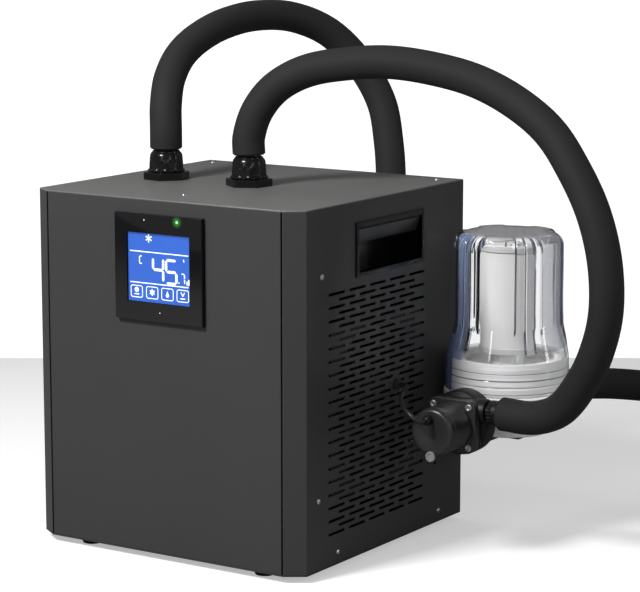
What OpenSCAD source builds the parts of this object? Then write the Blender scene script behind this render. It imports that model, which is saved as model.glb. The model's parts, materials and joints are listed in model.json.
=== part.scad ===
// Ice bath chiller: a sheet-metal cooling cabinet with a pump and a clear water filter on its side.
// X runs to the right, Y to the back and Z up from the floor.

/* [Cabinet] */
// Width of the cabinet
cab_w = 368; // [340:1:420]
// Depth of the cabinet
cab_d = 350; // [320:1:400]
// Height of the cabinet without its feet
cab_h = 405; // [400:1:440]
// Thickness of the panel sheet
sheet = 1.2; // [0.8:0.1:2]
// Thickness of the top cover and base pan sheet
cover_t = 1.5; // [1:0.1:2]
// Width of the folded front corners
fold_w = 22; // [16:0.5:28]
// Depth of the folded front corners
fold_d = 14.6; // [10:0.2:18]
// Depth of the flange that turns in beside the front panel
fold_return = 12; // [8:0.5:18]
// Shadow gap between front panel and folded corners
fold_gap = 2; // [1:0.5:4]
// Height of the feet
foot_h = 8; // [6:0.5:20]
// Radius of a foot
foot_r = 13; // [8:0.5:18]
// Distance of the feet from the cabinet's sides
foot_inset_x = 62; // [40:1:80]
// Distance of the feet from the cabinet's front and back
foot_inset_y = 24; // [20:1:50]

/* [Louvres] */
// Slots in a full row
slot_count = 5; // [3:1:5]
// Height between slot rows
slot_rise = 7.5; // [6:0.1:7.5]
// Length between slot centres
slot_step = 42.5; // [38:0.5:43]
// Length of a slot
slot_l = 33.5; // [24:0.5:35]
// Width of a slot
slot_w = 3; // [2:0.1:4]
// Height of the lowest slot row above the base
slot_base = 36.9; // [30:0.1:37]
// Distance of the slot field's middle from the front
slot_mid_y = 159.5; // [155:0.5:165]
// Bare height between the highest slot row and the handle opening
slot_margin = 10; // [8:0.5:15]

/* [Handles] */
// Length of the handle opening
handle_l = 139.6; // [110:1:150]
// Height of the handle opening
handle_h = 55.7; // [45:0.5:60]
// Depth of the handle recess
handle_depth = 38; // [25:1:45]
// Distance of the handle opening below the cabinet's top
handle_drop = 27.3; // [20:0.1:30]
// Distance of the handle's middle from the front
handle_mid_y = 185; // [175:1:195]
// Wall of the moulded handle
handle_wall = 2; // [1.5:0.1:3]
// Width of the rim round the handle opening
handle_rim = 3; // [2:0.5:5]
// Height of the sloped grip that hangs in the opening
grip_drop = 18; // [12:0.5:24]
// Depth of the sloped grip
grip_in = 14; // [8:0.5:20]

/* [Display] */
// Width of the display bezel
bezel_w = 120; // [110:1:130]
// Distance that the bezel stands out
bezel_t = 6; // [4:0.5:10]
// Gap between the bezel and the cabinet's top edge
bezel_top_gap = 16.4; // [10:0.1:25]
// Width of the lit screen
screen_w = 86; // [70:1:95]
// Height of the lit screen
screen_h = 77.5; // [60:0.5:85]
// Distance of the screen's top edge below the bezel's top edge
screen_drop = 21.3; // [15:0.1:25]
// Depth of the screen below the face of the bezel
screen_sink = 2.5; // [1:0.1:3]
// Depth of the housing behind the display
display_box_d = 26; // [18:1:35]

/* [Water ports] */
// Distance of the left port from the cabinet's left side
port_left_x = 73; // [66:1:80]
// Distance between the two ports
port_step = 119; // [100:1:130]
// Distance of the ports from the front
port_y = 160; // [150:1:170]
// Width across the flats of the port's flange
port_flats = 48; // [46:0.5:54]
// Height of the port's flange
port_flange_h = 9; // [6:0.5:12]
// Radius of the port's neck
port_neck_r = 13; // [11:0.5:15]
// Radius of the port's bore
port_bore_r = 9.5; // [8:0.5:10]
// Height of the cap nut
cap_h = 25; // [20:0.5:30]
// Radius of the cap nut at its base
cap_base_r = 21.5; // [20:0.5:23]
// Radius of the cap nut at its top
cap_top_r = 16.5; // [15.5:0.5:18]
// Number of ribs on the cap nut
cap_ribs = 10; // [6:1:16]
// Length of the port's shank below the cover
port_shank_l = 24; // [20:1:28]
// Radius of the port's shank
port_shank_r = 16; // [15:0.5:18]

/* [Hoses] */
// Radius of the insulated hoses
hose_r = 19; // [17:0.5:19]
// Radius of the pump's cable
cable_r = 2.5; // [2:0.1:2.5]
// Length of a hose coupling
coupling_l = 46; // [40:1:60]
// Radius of a hose coupling's bore
coupling_bore_r = 9; // [7:0.5:10]
// Radius of a coupling's thread, for a three quarter inch pipe thread
coupling_thread_r = 13.2; // [13:0.1:14]
// Length of a coupling's nut
coupling_nut_l = 20; // [16:0.5:24]

/* [Pump] */
// Distance of the pump's axis from the cabinet's right side
pump_out = 77; // [76:0.5:80]
// Height of the pump's axis above the floor
pump_z = 154; // [152:0.5:158]
// Radius of the motor can
motor_r = 27.3; // [24:0.1:28]
// Length of the motor can
motor_l = 44; // [38:0.5:50]
// Width of the square flange
flange_w = 62; // [58:0.5:66]
// Thickness of the square flange
flange_t = 10; // [8:0.5:12]
// Distance between the flange's clamp screws
flange_screw_pitch = 46; // [42:0.5:50]
// Radius of the clamp screws
clamp_screw_r = 2; // [1.5:0.1:2.5]
// Radius of the volute
volute_r = 37; // [34:0.5:38]
// Length of the volute
volute_l = 37; // [34:0.5:40]
// Wall of the volute
volute_wall = 3; // [2:0.1:4]
// Height of the outlet above the pump's axis
outlet_rise = 16; // [12:0.5:18]
// Distance of the outlet from the volute's front face
outlet_y = 11; // [11:0.5:14]
// Radius of the outlet pipe
outlet_r = 10; // [9:0.5:10]
// Distance of the outlet pipe's end from the pump's axis
outlet_reach = 53; // [52:0.5:58]
// Radius of the water bores in pump and filter
bore_r = 7; // [5:0.5:8]
// Radius of the union nut on the outlet
union_r = 14; // [13:0.5:15]
// Length of the union nut on the outlet
union_l = 13; // [10:0.5:13.5]
// Radius of the impeller
impeller_r = 29; // [24:0.5:30]
// Number of impeller blades
impeller_blades = 6; // [4:1:8]
// Radius of the pump's shaft
shaft_r = 4; // [3:0.5:5]
// Length of the nipple between pump and filter that shows
nipple_gap = 8.5; // [6:0.5:12]

/* [Filter] */
// Distance of the filter's axis from the front
filter_y = 323; // [315:1:330]
// Depth of the filter head below the pump's axis
head_drop = 28; // [26:0.5:32]
// Radius of the filter head's rim
rim_r = 74.2; // [73:0.1:74.6]
// Height of the head's lower body
head_lower_h = 32; // [28:0.5:36]
// Radius of the head's lower body
head_lower_r = 54; // [50:0.5:58]
// Height of the head's rim
rim_h = 18; // [14:0.5:20]
// Height of the head's threaded neck
neck_h = 37; // [30:0.5:40]
// Radius of the head's threaded neck
neck_r = 64; // [62:0.5:65]
// Depth of the water chamber in the head's neck
chamber_depth = 10; // [8:0.5:14]
// Pitch of the neck's thread ridges
thread_pitch = 6; // [5:0.5:8]
// Height of a thread ridge
thread_t = 1.6; // [1:0.1:2]
// Length of the head's side bosses from the filter's axis
boss_reach = 74.5; // [74:0.5:76]
// Radius of the head's side bosses
boss_r = 18; // [17:0.5:20]
// Outer radius of the bowl's body
bowl_r = 61; // [60:0.5:62]
// Outer radius of the bowl's collar
collar_r = 72; // [70:0.5:73]
// Wall of the bowl
bowl_wall = 3; // [2.5:0.1:4]
// Height of the bowl
bowl_h = 184; // [178:1:190]
// Height of the bowl's collar
collar_h = 84; // [78:1:88]
// Radius of the bowl's rounded shoulder
shoulder_r = 14; // [8:0.5:18]
// Number of rib groups round the bowl
rib_groups = 5; // [4:1:6]
// Number of ridges in a group
group_ribs = 3; // [2:1:4]
// Width of a ridge
rib_w = 4; // [3:0.1:5]
// Height of a ridge
rib_t = 2.5; // [1:0.1:3]
// Length of the cartridge
cartridge_l = 127; // [110:1:130]
// Radius of the cartridge
cartridge_r = 32; // [28:0.5:34]
// Radius of the cartridge's core
cartridge_core_r = 13; // [12.5:0.5:16]
// Lip of the cartridge caps round the cartridge
cap_lip = 1.5; // [1:0.1:2]
// Thickness of a cartridge cap
end_cap_t = 7; // [5:0.5:9]
// Length of the suction union
suction_union_l = 14.5; // [12:0.5:20]
// Radius of the suction union
suction_union_r = 17; // [16:0.5:18]
// Thickness of the bracket's steel
bracket_t = 2; // [1.5:0.1:3]
// Half width of the bracket's shelf
bracket_half = 36; // [30:0.5:40]
// Height of the bracket's flange on the cabinet
bracket_flange_h = 46; // [40:1:60]

/* [Inside] */
// Radius of the fan's blades
fan_r = 90; // [80:1:92]
// Distance of the fan's axis below the handle openings
fan_drop = 152; // [145:1:155]
// Distance of the fan's axis from the front
fan_y = 160; // [155:1:165]
// Number of fan blades
fan_count = 7; // [5:1:9]
// Radius of the fan's hub
fan_hub_r = 32; // [28:0.5:36]
// Depth of the fan's hub
fan_hub_l = 24; // [20:0.5:26]
// Radius of the fan motor
fan_motor_r = 34; // [30:0.5:38]
// Length of the fan motor
fan_motor_l = 44; // [36:1:50]
// Depth of the fan shroud
shroud_d = 30; // [28:1:32]
// Radius of the compressor
comp_r = 56; // [50:1:58]
// Height of the compressor's shell
comp_h = 130; // [110:1:136]
// Distance of the compressor from the left side
comp_x = 190; // [180:1:200]
// Distance of the compressor from the front
comp_y = 240; // [230:1:250]
// Thickness of the condenser
cond_t = 38; // [30:1:42]
// Height of the condenser
cond_h = 250; // [220:1:255]
// Width of the condenser
cond_w = 220; // [200:1:230]
// Number of fin packs in the condenser
cond_fins = 20; // [12:1:24]
// Number of tubes in the condenser
cond_tubes = 8; // [6:1:10]
// Length of the evaporator tank
tank_l = 190; // [180:1:200]
// Radius of the evaporator tank
tank_r = 46; // [40:0.5:48]
// Distance of the tank's axis below the cabinet's top
tank_drop = 95; // [92:1:100]
// Radius of the copper lines
line_r = 3; // [2.5:0.5:4]
// Radius of the filter drier
drier_r = 11; // [9:0.5:13]
// Length of the filter drier
drier_l = 80; // [60:1:100]

/* [Hidden] */
$fn = 64;

// Clearance of a running fit
fit = 0.05;
// Clearance between pieces that move past each other
clear = 0.3;
// Overrun of every cut
over = 1;
// Radius and height of a panel screw's head, and its shank
screw_head_r = 3.3;
screw_head_t = 1.8;
screw_shank_r = 1.5;
screw_shank_l = 5;

base_z = foot_h;
pump_x = cab_w + pump_out;
top_z = foot_h + cab_h;
floor_z = base_z + cover_t;
panel_h = cab_h - 2 * cover_t;
handle_base = cab_h - handle_drop - handle_h;
slot_rows = 1 + floor((handle_base - slot_base - slot_margin) / slot_rise);
tank_z = top_z - tank_drop;
fan_z = base_z + handle_base - fan_drop;
slope = atan2(fold_d, fold_w);
front_w = cab_w - 2 * (fold_w + fold_gap);
bezel_x = cab_w / 2;
bezel_z = top_z - bezel_top_gap - bezel_w;
screen_z = bezel_z + bezel_w - screen_drop - screen_h;
port_right_x = port_left_x + port_step;
flange_z = top_z + port_flange_h;
neck_gap = 2;
hose_z = flange_z + clear + cap_h + neck_gap - clear;
head_z = pump_z - head_drop;
rim_z = head_z + head_lower_h;
neck_z = rim_z + rim_h;
bowl_z = neck_z + clear;
volute_back = filter_y - boss_reach - nipple_gap;
volute_front = volute_back - volute_l;
motor_front = volute_front - flange_t - motor_l;
outlet_py = volute_front + outlet_y;
outlet_pz = pump_z + outlet_rise;
outlet_px = pump_x + outlet_reach;
spigot_r = cartridge_core_r - 4 * fit;
spigot_wall = 3;
spigot_l = 22;
seat_t = 6;
seat_r = spigot_r + 2 * spigot_wall;
cartridge_z = neck_z + neck_h + seat_t;
cartridge_floor = cartridge_z + clear;
union_end = filter_y + boss_reach + suction_union_l;
suction_pipe_r = 12;
inner_x = cab_w - sheet;
fan_gap = 3;
grommet_y = 199;
grommet_z = 192;
grommet_r = 6;
grommet_out = 6;
clamp_depth = 6;
gland_r = 6;
gland_l = 8;
gland_in = 3;
gland_up = 14;
plug_r = 6;
plug_t = 2.5;
impeller_h = 24;
chamfer = 4;
rib_angle = 10.5;
rib_turn = -38;
mount_h = 12;
mount_r = 9;
comp_turn = 90;
cond_gap = 12;
strut_t = 4;
strut_in = 2;
strut_w = 10;
fan_pitch = 32;
tank_x = cond_gap + cond_t + chamfer;
drier_x = tank_x + tank_r;
drier_y = cab_d - 3 * drier_r;
drier_z = floor_z + cond_h / 3;
pin_t = 2;
pin_w = 4;
led_x = 26.5;
led_drop = 6;
led_r = 1.5;
box_wall = 2;
board_t = 1.6;
left_turn = 47;
right_turn = 26;
cap_foot_share = 0.3;
cap_rib_t = 1.2;
gasket_t = 2;
locknut_h = 8;
hose_sides = 12;
cable_sides = 8;
coupling_lip = 3;
inlet_w = 28;
inlet_h = 48;
inlet_x = cab_w * 0.8;
inlet_z = base_z + inlet_h;
inlet_rim = 4;
inlet_d = 24;
socket_w = 22;
socket_h = 16;
socket_d = 18;
switch_w = 15;
switch_h = 22;
switch_d = 16;
switch_z = inlet_z + inlet_h + inlet_rim + switch_w;

// Places of the side screws, as shares of the cabinet's depth and height
side_screw_shares = [[0.127, 0.812], [0.107, 0.198], [0.22, 0.035], [0.849, 0.033], [0.95, 0.812]];
// Places of the top screws, as shares of the cabinet's width and depth
top_screw_shares = [[0.491, 0.14], [0.06, 0.93], [0.94, 0.93]];
// Places of the rear screws, as shares of the cabinet's width and height
rear_screw_shares = [[0.04, 0.06], [0.96, 0.06], [0.04, 0.94], [0.96, 0.94]];

// Route of the return hose, from the left port down behind the cabinet
return_route = [[73, 160, 449], [73, 160, 470], [68, 167, 500], [59, 187, 529], [52, 220, 555],
                [50, 262, 574], [53, 311, 588], [62, 366, 595], [79, 420, 591], [103, 467, 570],
                [130, 496, 531], [159, 502, 483], [181, 485, 434], [199, 462, 385],
                [203, 454, 330], [203, 452, 273], [203, 452, 216], [199, 452, 160],
                [180, 452, 106], [150, 452, 58], [118, 452, 30], [84, 452, 19], [46, 452, 19]];
// Route of the supply hose, from the right port to the pump's outlet
supply_route = [[192, 160, 449], [192, 160, 470], [202, 164, 501], [224, 171, 528],
                [259, 181, 547], [305, 193, 556], [353, 205, 559], [407, 215, 553],
                [460, 219, 541], [511, 216, 520], [557, 207, 492], [594, 194, 454],
                [624, 184, 409], [641, 179, 357], [642, 181, 302], [625, 190, 251],
                [600, 201, 212], [572, 210, 183], [538, 214, 170], [498, 214, 170]];
// Route of the suction hose, from the filter round to the right and down to the floor
suction_route = [[445, 412, 154], [445, 450, 154], [460, 492, 152], [490, 532, 148],
                 [534, 561, 142], [588, 570, 133], [640, 561, 121], [688, 538, 103],
                 [728, 503, 83], [757, 458, 63], [774, 409, 45], [780, 358, 32],
                 [780, 306, 23], [780, 253, 19], [780, 208, 19]];
// Route of the pump's cable, from its gland to the cabinet's side
cable_route = [[442, 141, 168], [442, 134, 168], [438, 127, 172], [429, 127, 178],
               [416, 137, 182], [403, 153, 186], [393, 172, 190], [388, 188, 192],
               [382, 199, 192], [374, 199, 192]];

// The part's origin is the middle of its underside without the hoses and what is on them
origin_x = (rim_r + pump_x - screw_head_t) / 2;
origin_y = (union_end - bezel_t) / 2;

module place() {
    translate([-origin_x, -origin_y, 0])
        children();
}

// A tube swept along a route: a ring of points square to the route at each of its points
function unit(v) = v / norm(v);
function heading(p, i) =
    i == 0 ? unit(p[1] - p[0])
    : i == len(p) - 1 ? unit(p[i] - p[i - 1])
    : unit(unit(p[i + 1] - p[i]) + unit(p[i] - p[i - 1]));
function square_to(v, t) = unit(v - (v * t) * t);
function side_ways(p, v, i = 0) =
    i == len(p) ? []
    : let (w = square_to(v, heading(p, i))) concat([w], side_ways(p, w, i + 1));
function ring(c, t, w, r, n) =
    [for (k = [0 : n - 1]) c + r * (cos(360 * k / n) * w + sin(360 * k / n) * cross(t, w))];

module tube(route, r, n, first_way) {
    ways = side_ways(route, first_way);
    last = len(route) - 1;
    rings = [for (i = [0 : last]) each ring(route[i], heading(route, i), ways[i], r, n)];
    walls = [for (i = [0 : last - 1], k = [0 : n - 1])
                let (a = i * n + k, b = i * n + (k + 1) % n)
                each [[a, a + n, b], [b, a + n, b + n]]];
    start = [for (k = [1 : n - 2]) [0, k, k + 1]];
    end = [for (k = [1 : n - 2]) [last * n, last * n + k + 1, last * n + k]];
    polyhedron(rings, concat(walls, start, end));
}

// A ring with a true bore
module ring_solid(r, bore, h) {
    difference() {
        cylinder(r = r, h = h);
        translate([0, 0, -over])
            cylinder(r = bore, h = h + 2 * over);
    }
}

// Turns a piece that stands on Z so that it lies along X or Y
module along_x(at) {
    translate(at)
        rotate([0, 90, 0])
            children();
}

module along_y(at) {
    translate(at)
        rotate([-90, 0, 0])
            children();
}

// Turns a flat shape drawn in depth and height to the cabinet's side
module side_sheet(x, t) {
    translate([x, 0, 0])
        rotate([90, 0, 90])
            linear_extrude(t)
                children();
}

// Turns a flat shape drawn in width and height to the cabinet's front
module front_sheet(y, t) {
    translate([0, y + t, 0])
        rotate([90, 0, 0])
            linear_extrude(t)
                children();
}

module mirror_cabinet() {
    translate([cab_w, 0, 0])
        mirror([1, 0, 0])
            children();
}

module cabinet_outline() {
    polygon([[0, fold_d], [fold_w, 0], [cab_w - fold_w, 0], [cab_w, fold_d],
             [cab_w, cab_d], [0, cab_d]]);
}

module side_section() {
    polygon([[cab_w, cab_d], [cab_w, fold_d], [cab_w - fold_w, 0], [cab_w - fold_w, fold_return],
             [cab_w - fold_w + sheet, fold_return],
             [cab_w - fold_w + sheet, sheet * (1 + sin(slope)) / cos(slope)],
             [cab_w - sheet, fold_d + sheet * tan((90 - slope) / 2)],
             [cab_w - sheet, cab_d]]);
}

// A slot with its corners cut, drawn flat
module slot() {
    a = slot_l / 2;
    b = slot_w / 2;
    c = slot_w / 3;
    polygon([[-a, c - b], [c - a, -b], [a - c, -b], [a, c - b],
             [a, b - c], [a - c, b], [c - a, b], [-a, b - c]]);
}

// The louvres: rows that hold one slot more and one slot less by turns
module slot_field() {
    for (i = [0 : slot_rows - 1]) {
        count = slot_count - i % 2;
        for (j = [0 : count - 1])
            translate([slot_mid_y + (j - (count - 1) / 2) * slot_step,
                       base_z + slot_base + i * slot_rise])
                slot();
    }
}

module handle_opening() {
    translate([handle_mid_y - handle_l / 2, base_z + handle_base])
        square([handle_l, handle_h]);
}

module side_screw_places() {
    for (s = side_screw_shares)
        translate([s[0] * cab_d, base_z + s[1] * cab_h])
            children();
}

module base_pan() {
    color("dimgray")
        translate([0, 0, base_z])
            linear_extrude(cover_t)
                cabinet_outline();
}

module feet() {
    color([0.1, 0.1, 0.1])
        for (x = [foot_inset_x, cab_w - foot_inset_x], y = [foot_inset_y, cab_d - foot_inset_y])
            translate([x, y, 0])
                rotate_extrude()
                    polygon([[0, 0], [foot_r - foot_h / 4, 0], [foot_r, foot_h / 2],
                             [foot_r, foot_h], [0, foot_h]]);
}

module side_panel_right() {
    color([0.2, 0.2, 0.2])
        difference() {
            translate([0, 0, floor_z])
                linear_extrude(panel_h)
                    side_section();
            side_sheet(inner_x - over, sheet + 2 * over)
                difference() {
                    slot_field();
                    translate([grommet_y, grommet_z])
                        circle(r = 2 * grommet_r);
                    translate([filter_y - bracket_half - slot_w, base_z])
                        square([cab_d, head_z - base_z]);
                }
            side_sheet(inner_x - over, sheet + 2 * over)
                handle_opening();
            along_x([inner_x - over, grommet_y, grommet_z])
                cylinder(r = grommet_r - 2 * sheet, h = sheet + 2 * over);
            bracket_panel_holes(inner_x - over);
            side_sheet(inner_x - over, sheet + 2 * over)
                side_screw_places()
                    circle(r = screw_shank_r);
        }
}

module side_panel_left() {
    color([0.2, 0.2, 0.2])
        mirror_cabinet()
            difference() {
                translate([0, 0, floor_z])
                    linear_extrude(panel_h)
                        side_section();
                side_sheet(inner_x - over, sheet + 2 * over)
                    union() {
                        slot_field();
                        handle_opening();
                        side_screw_places()
                            circle(r = screw_shank_r);
                    }
            }
}

module front_panel() {
    color([0.25, 0.25, 0.25])
        difference() {
            translate([fold_w + fold_gap, 0, floor_z])
                cube([front_w, sheet, panel_h]);
            translate([bezel_x - screen_w / 2, -over, screen_z])
                cube([screen_w, sheet + 2 * over, screen_h]);
        }
}

module rear_panel() {
    color([0.2, 0.2, 0.2])
        difference() {
            translate([sheet, cab_d - sheet, floor_z])
                cube([cab_w - 2 * sheet, sheet, panel_h]);
            front_sheet(cab_d - sheet - over, sheet + 2 * over) {
                translate([inlet_x - inlet_w / 2, inlet_z])
                    square([inlet_w, inlet_h]);
                translate([inlet_x - switch_w / 2, switch_z])
                    square([switch_w, switch_h]);
                rear_screw_places()
                    circle(r = screw_shank_r);
            }
        }
}

module rear_screw_places() {
    for (s = rear_screw_shares)
        translate([s[0] * cab_w, base_z + s[1] * cab_h])
            children();
}

module top_screw_places() {
    for (s = top_screw_shares)
        translate([s[0] * cab_w, s[1] * cab_d])
            children();
}

module top_cover() {
    color([0.35, 0.35, 0.34])
        translate([0, 0, top_z - cover_t])
            linear_extrude(cover_t)
                difference() {
                    cabinet_outline();
                    top_screw_places()
                        circle(r = screw_shank_r);
                    for (x = [port_left_x, port_right_x])
                        translate([x, port_y])
                            circle(r = port_shank_r);
                }
}

// A screw with a domed head that stands on Z above its seat
module panel_screw() {
    rotate_extrude()
        polygon([[0, -screw_shank_l], [screw_shank_r, -screw_shank_l], [screw_shank_r, 0],
                 [screw_head_r, 0], [screw_head_r, screw_head_t / 2],
                 [screw_head_r * 0.6, screw_head_t], [0, screw_head_t]]);
}

module panel_screws() {
    color("silver") {
        for (s = side_screw_shares) {
            along_x([cab_w, s[0] * cab_d, base_z + s[1] * cab_h])
                panel_screw();
            mirror_cabinet()
                along_x([cab_w, s[0] * cab_d, base_z + s[1] * cab_h])
                    panel_screw();
        }
        for (s = rear_screw_shares)
            along_y([s[0] * cab_w, cab_d, base_z + s[1] * cab_h])
                panel_screw();
        for (s = top_screw_shares)
            translate([s[0] * cab_w, s[1] * cab_d, top_z])
                panel_screw();
    }
}

// The moulded grip: a cup behind the opening, a rim in front of it and a sloped flap to hold
module handle() {
    low = base_z + handle_base;
    difference() {
        union() {
            side_sheet(cab_w - handle_depth, handle_depth)
                handle_opening();
            side_sheet(cab_w, sheet)
                translate([handle_mid_y, low + handle_h / 2])
                    square([handle_l + 2 * handle_rim, handle_h + 2 * handle_rim], center = true);
        }
        translate([cab_w - handle_depth + handle_wall, handle_mid_y - handle_l / 2 + handle_wall,
                   low + handle_wall])
            cube([handle_depth + sheet + over, handle_l - 2 * handle_wall,
                  handle_h - 2 * handle_wall]);
    }
    translate([cab_w, handle_mid_y + handle_l / 2 - handle_wall, low + handle_h - handle_wall])
        rotate([90, 0, 0])
            linear_extrude(handle_l - 2 * handle_wall)
                polygon([[0, 0], [-grip_in - handle_wall, 0],
                         [-grip_in - handle_wall, -grip_drop / 2], [-grip_in, -grip_drop],
                         [handle_wall - grip_in, -grip_drop], [sheet, -handle_wall], [sheet, 0]]);
}

module handle_right() {
    color([0.12, 0.12, 0.12])
        handle();
}

module handle_left() {
    color([0.12, 0.12, 0.12])
        mirror_cabinet()
            handle();
}

module display_bezel() {
    lip = 2;
    color([0.03, 0.03, 0.04])
        difference() {
            translate([bezel_x - bezel_w / 2, -bezel_t, bezel_z])
                cube([bezel_w, bezel_t, bezel_w]);
            translate([bezel_x - screen_w / 2, -bezel_t - over, screen_z])
                cube([screen_w, bezel_t + 2 * over, screen_h]);
            along_y([bezel_x + led_x, -bezel_t - over, bezel_z + bezel_w - led_drop])
                cylinder(r = led_r, h = lip + over);
        }
}

module display_screen() {
    color([0.25, 0.45, 0.95])
        translate([bezel_x - screen_w / 2, screen_sink - bezel_t, screen_z])
            cube([screen_w, bezel_t + sheet - screen_sink, screen_h]);
}

module status_led() {
    color([0.2, 0.9, 0.3])
        along_y([bezel_x + led_x, -bezel_t, bezel_z + bezel_w - led_drop])
            cylinder(r = led_r, h = led_r);
}

module display_box() {
    color([0.15, 0.15, 0.15])
        difference() {
            translate([bezel_x - bezel_w / 2, sheet, bezel_z])
                cube([bezel_w, display_box_d, bezel_w]);
            translate([bezel_x - bezel_w / 2 + box_wall, sheet - over, bezel_z + box_wall])
                cube([bezel_w - 2 * box_wall, display_box_d - box_wall + over,
                      bezel_w - 2 * box_wall]);
        }
}

module control_board() {
    color("darkgreen")
        translate([bezel_x - bezel_w / 2 + box_wall, sheet, bezel_z + box_wall])
            cube([bezel_w - 2 * box_wall, board_t, bezel_w - 2 * box_wall]);
    color([0.1, 0.1, 0.1])
        for (i = [0 : 2])
            translate([bezel_x - bezel_w / 4, sheet + board_t, bezel_z + (i + 1) * bezel_w / 4])
                cube([bezel_w / 2, board_t * 3, bezel_w / 8]);
}

// A port: hexagonal flange on the cover, neck above it and threaded shank below it
module port(turn) {
    difference() {
        union() {
            rotate([0, 0, turn])
                cylinder(r = port_flats / sqrt(3), h = port_flange_h, $fn = 6);
            cylinder(r = port_neck_r, h = hose_z - top_z);
            translate([0, 0, -port_shank_l])
                cylinder(r = port_shank_r, h = port_shank_l + over);
        }
        translate([0, 0, -port_shank_l - over])
            cylinder(r = port_bore_r, h = port_shank_l + hose_z - top_z + 2 * over);
    }
}

module port_left_body() {
    color([0.1, 0.1, 0.1])
        translate([port_left_x, port_y, top_z])
            port(left_turn);
}

module port_right_body() {
    color([0.1, 0.1, 0.1])
        translate([port_right_x, port_y, top_z])
            port(right_turn);
}

// A domed nut with a flatted foot, which turns on the port's neck
module cap_nut() {
    bore = port_neck_r + fit;
    foot = cap_h * cap_foot_share;
    rotate_extrude()
        polygon([[bore, foot],
                 for (a = [0 : 15 : 90])
                     [cap_top_r + (cap_base_r - cap_top_r) * cos(a),
                      foot + (cap_h - foot) * sin(a)],
                 [bore, cap_h]]);
    difference() {
        cylinder(r = cap_base_r + cap_rib_t, h = foot, $fn = cap_ribs);
        translate([0, 0, -over])
            cylinder(r = bore, h = foot + 2 * over);
    }
}

module port_left_cap() {
    color([0.1, 0.1, 0.1])
        translate([port_left_x, port_y, flange_z + clear])
            cap_nut();
}

module port_right_cap() {
    color([0.1, 0.1, 0.1])
        translate([port_right_x, port_y, flange_z + clear])
            cap_nut();
}

// Under the cover each port has a flat gasket and a lock nut
module port_locknuts() {
    color([0.15, 0.15, 0.15])
        for (x = [port_left_x, port_right_x])
            translate([x, port_y, top_z - cover_t - gasket_t - locknut_h]) {
                difference() {
                    cylinder(r = port_flats / sqrt(3), h = locknut_h, $fn = 6);
                    translate([0, 0, -over])
                        cylinder(r = port_shank_r + fit, h = locknut_h + 2 * over);
                }
                translate([0, 0, locknut_h + fit])
                    ring_solid(port_flats / 2, port_shank_r + fit, gasket_t - fit);
            }
}

module hose_return() {
    color([0.2, 0.2, 0.2])
        tube(return_route, hose_r, hose_sides, [1, 0, 0]);
}

module hose_supply() {
    color([0.2, 0.2, 0.2])
        tube(supply_route, hose_r, hose_sides, [0, 1, 0]);
}

module hose_suction() {
    color([0.2, 0.2, 0.2])
        tube(suction_route, hose_r, hose_sides, [0, 0, 1]);
}

module pump_cable() {
    color([0.1, 0.1, 0.1])
        tube(cable_route, cable_r, cable_sides, [0, 0, 1]);
}

// A hose coupling that stands on Z: a thread, and a collar that the hose meets
module coupling() {
    difference() {
        union() {
            cylinder(r = coupling_thread_r, h = coupling_l);
            cylinder(r = hose_r - coupling_lip, h = coupling_lip);
            translate([0, 0, coupling_lip + coupling_nut_l + 2 * clear])
                cylinder(r = hose_r - coupling_lip, h = coupling_lip);
        }
        translate([0, 0, -over])
            cylinder(r = coupling_bore_r, h = coupling_l + 2 * over);
    }
}

module coupling_nut() {
    translate([0, 0, coupling_lip + clear])
        difference() {
            cylinder(r = hose_r - clear, h = coupling_nut_l, $fn = 6);
            translate([0, 0, -over])
                cylinder(r = coupling_thread_r + fit, h = coupling_nut_l + 2 * over);
        }
}

// The far ends of the two loose hoses: the return ends along -X, the suction along -Y
module at_return_end() {
    translate(return_route[len(return_route) - 1])
        rotate([0, -90, 0])
            children();
}

module at_suction_end() {
    translate(suction_route[len(suction_route) - 1])
        rotate([90, 0, 0])
            children();
}

module return_coupling() {
    color([0.1, 0.1, 0.1])
        at_return_end()
            coupling();
}

module return_coupling_nut() {
    color([0.12, 0.12, 0.12])
        at_return_end()
            coupling_nut();
}

module suction_coupling() {
    color([0.1, 0.1, 0.1])
        at_suction_end()
            coupling();
}

module suction_coupling_nut() {
    color([0.12, 0.12, 0.12])
        at_suction_end()
            coupling_nut();
}

module outlet_union() {
    color([0.1, 0.1, 0.1])
        along_x([outlet_px - clear - union_l, outlet_py, outlet_pz])
            difference() {
                cylinder(r = union_r, h = union_l, $fn = 8);
                translate([0, 0, -over])
                    cylinder(r = outlet_r + fit, h = union_l + 2 * over);
            }
}

module suction_union() {
    color([0.1, 0.1, 0.1])
        along_y([pump_x, filter_y + boss_reach + clear, pump_z])
            difference() {
                cylinder(r = suction_union_r, h = suction_union_l - 2 * clear, $fn = 8);
                translate([0, 0, -over])
                    cylinder(r = suction_pipe_r + fit, h = suction_union_l + 2 * over);
            }
}

module pump_motor() {
    color([0.12, 0.12, 0.13])
        difference() {
            union() {
                along_y([pump_x, motor_front, pump_z])
                    cylinder(r = motor_r, h = motor_l);
                translate([pump_x - flange_w / 2, volute_front - flange_t, pump_z - flange_w / 2])
                    cube([flange_w, flange_t, flange_w]);
            }
            along_y([pump_x, motor_front + motor_l / 2, pump_z])
                cylinder(r = shaft_r + fit, h = motor_l);
            clamp_places()
                cylinder(r = clamp_screw_r, h = 2 * clamp_depth + over);
        }
}

// The four clamp screws stand on the flange's front face
module clamp_places() {
    for (x = [-1, 1], z = [-1, 1])
        along_y([pump_x + x * flange_screw_pitch / 2, volute_front - flange_t,
                 pump_z + z * flange_screw_pitch / 2])
            children();
}

module pump_screws() {
    color("silver")
        clamp_places() {
            translate([0, 0, -clamp_screw_r])
                cylinder(r = 2 * clamp_screw_r, h = clamp_screw_r);
            cylinder(r = clamp_screw_r, h = clamp_depth);
        }
}

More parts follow.
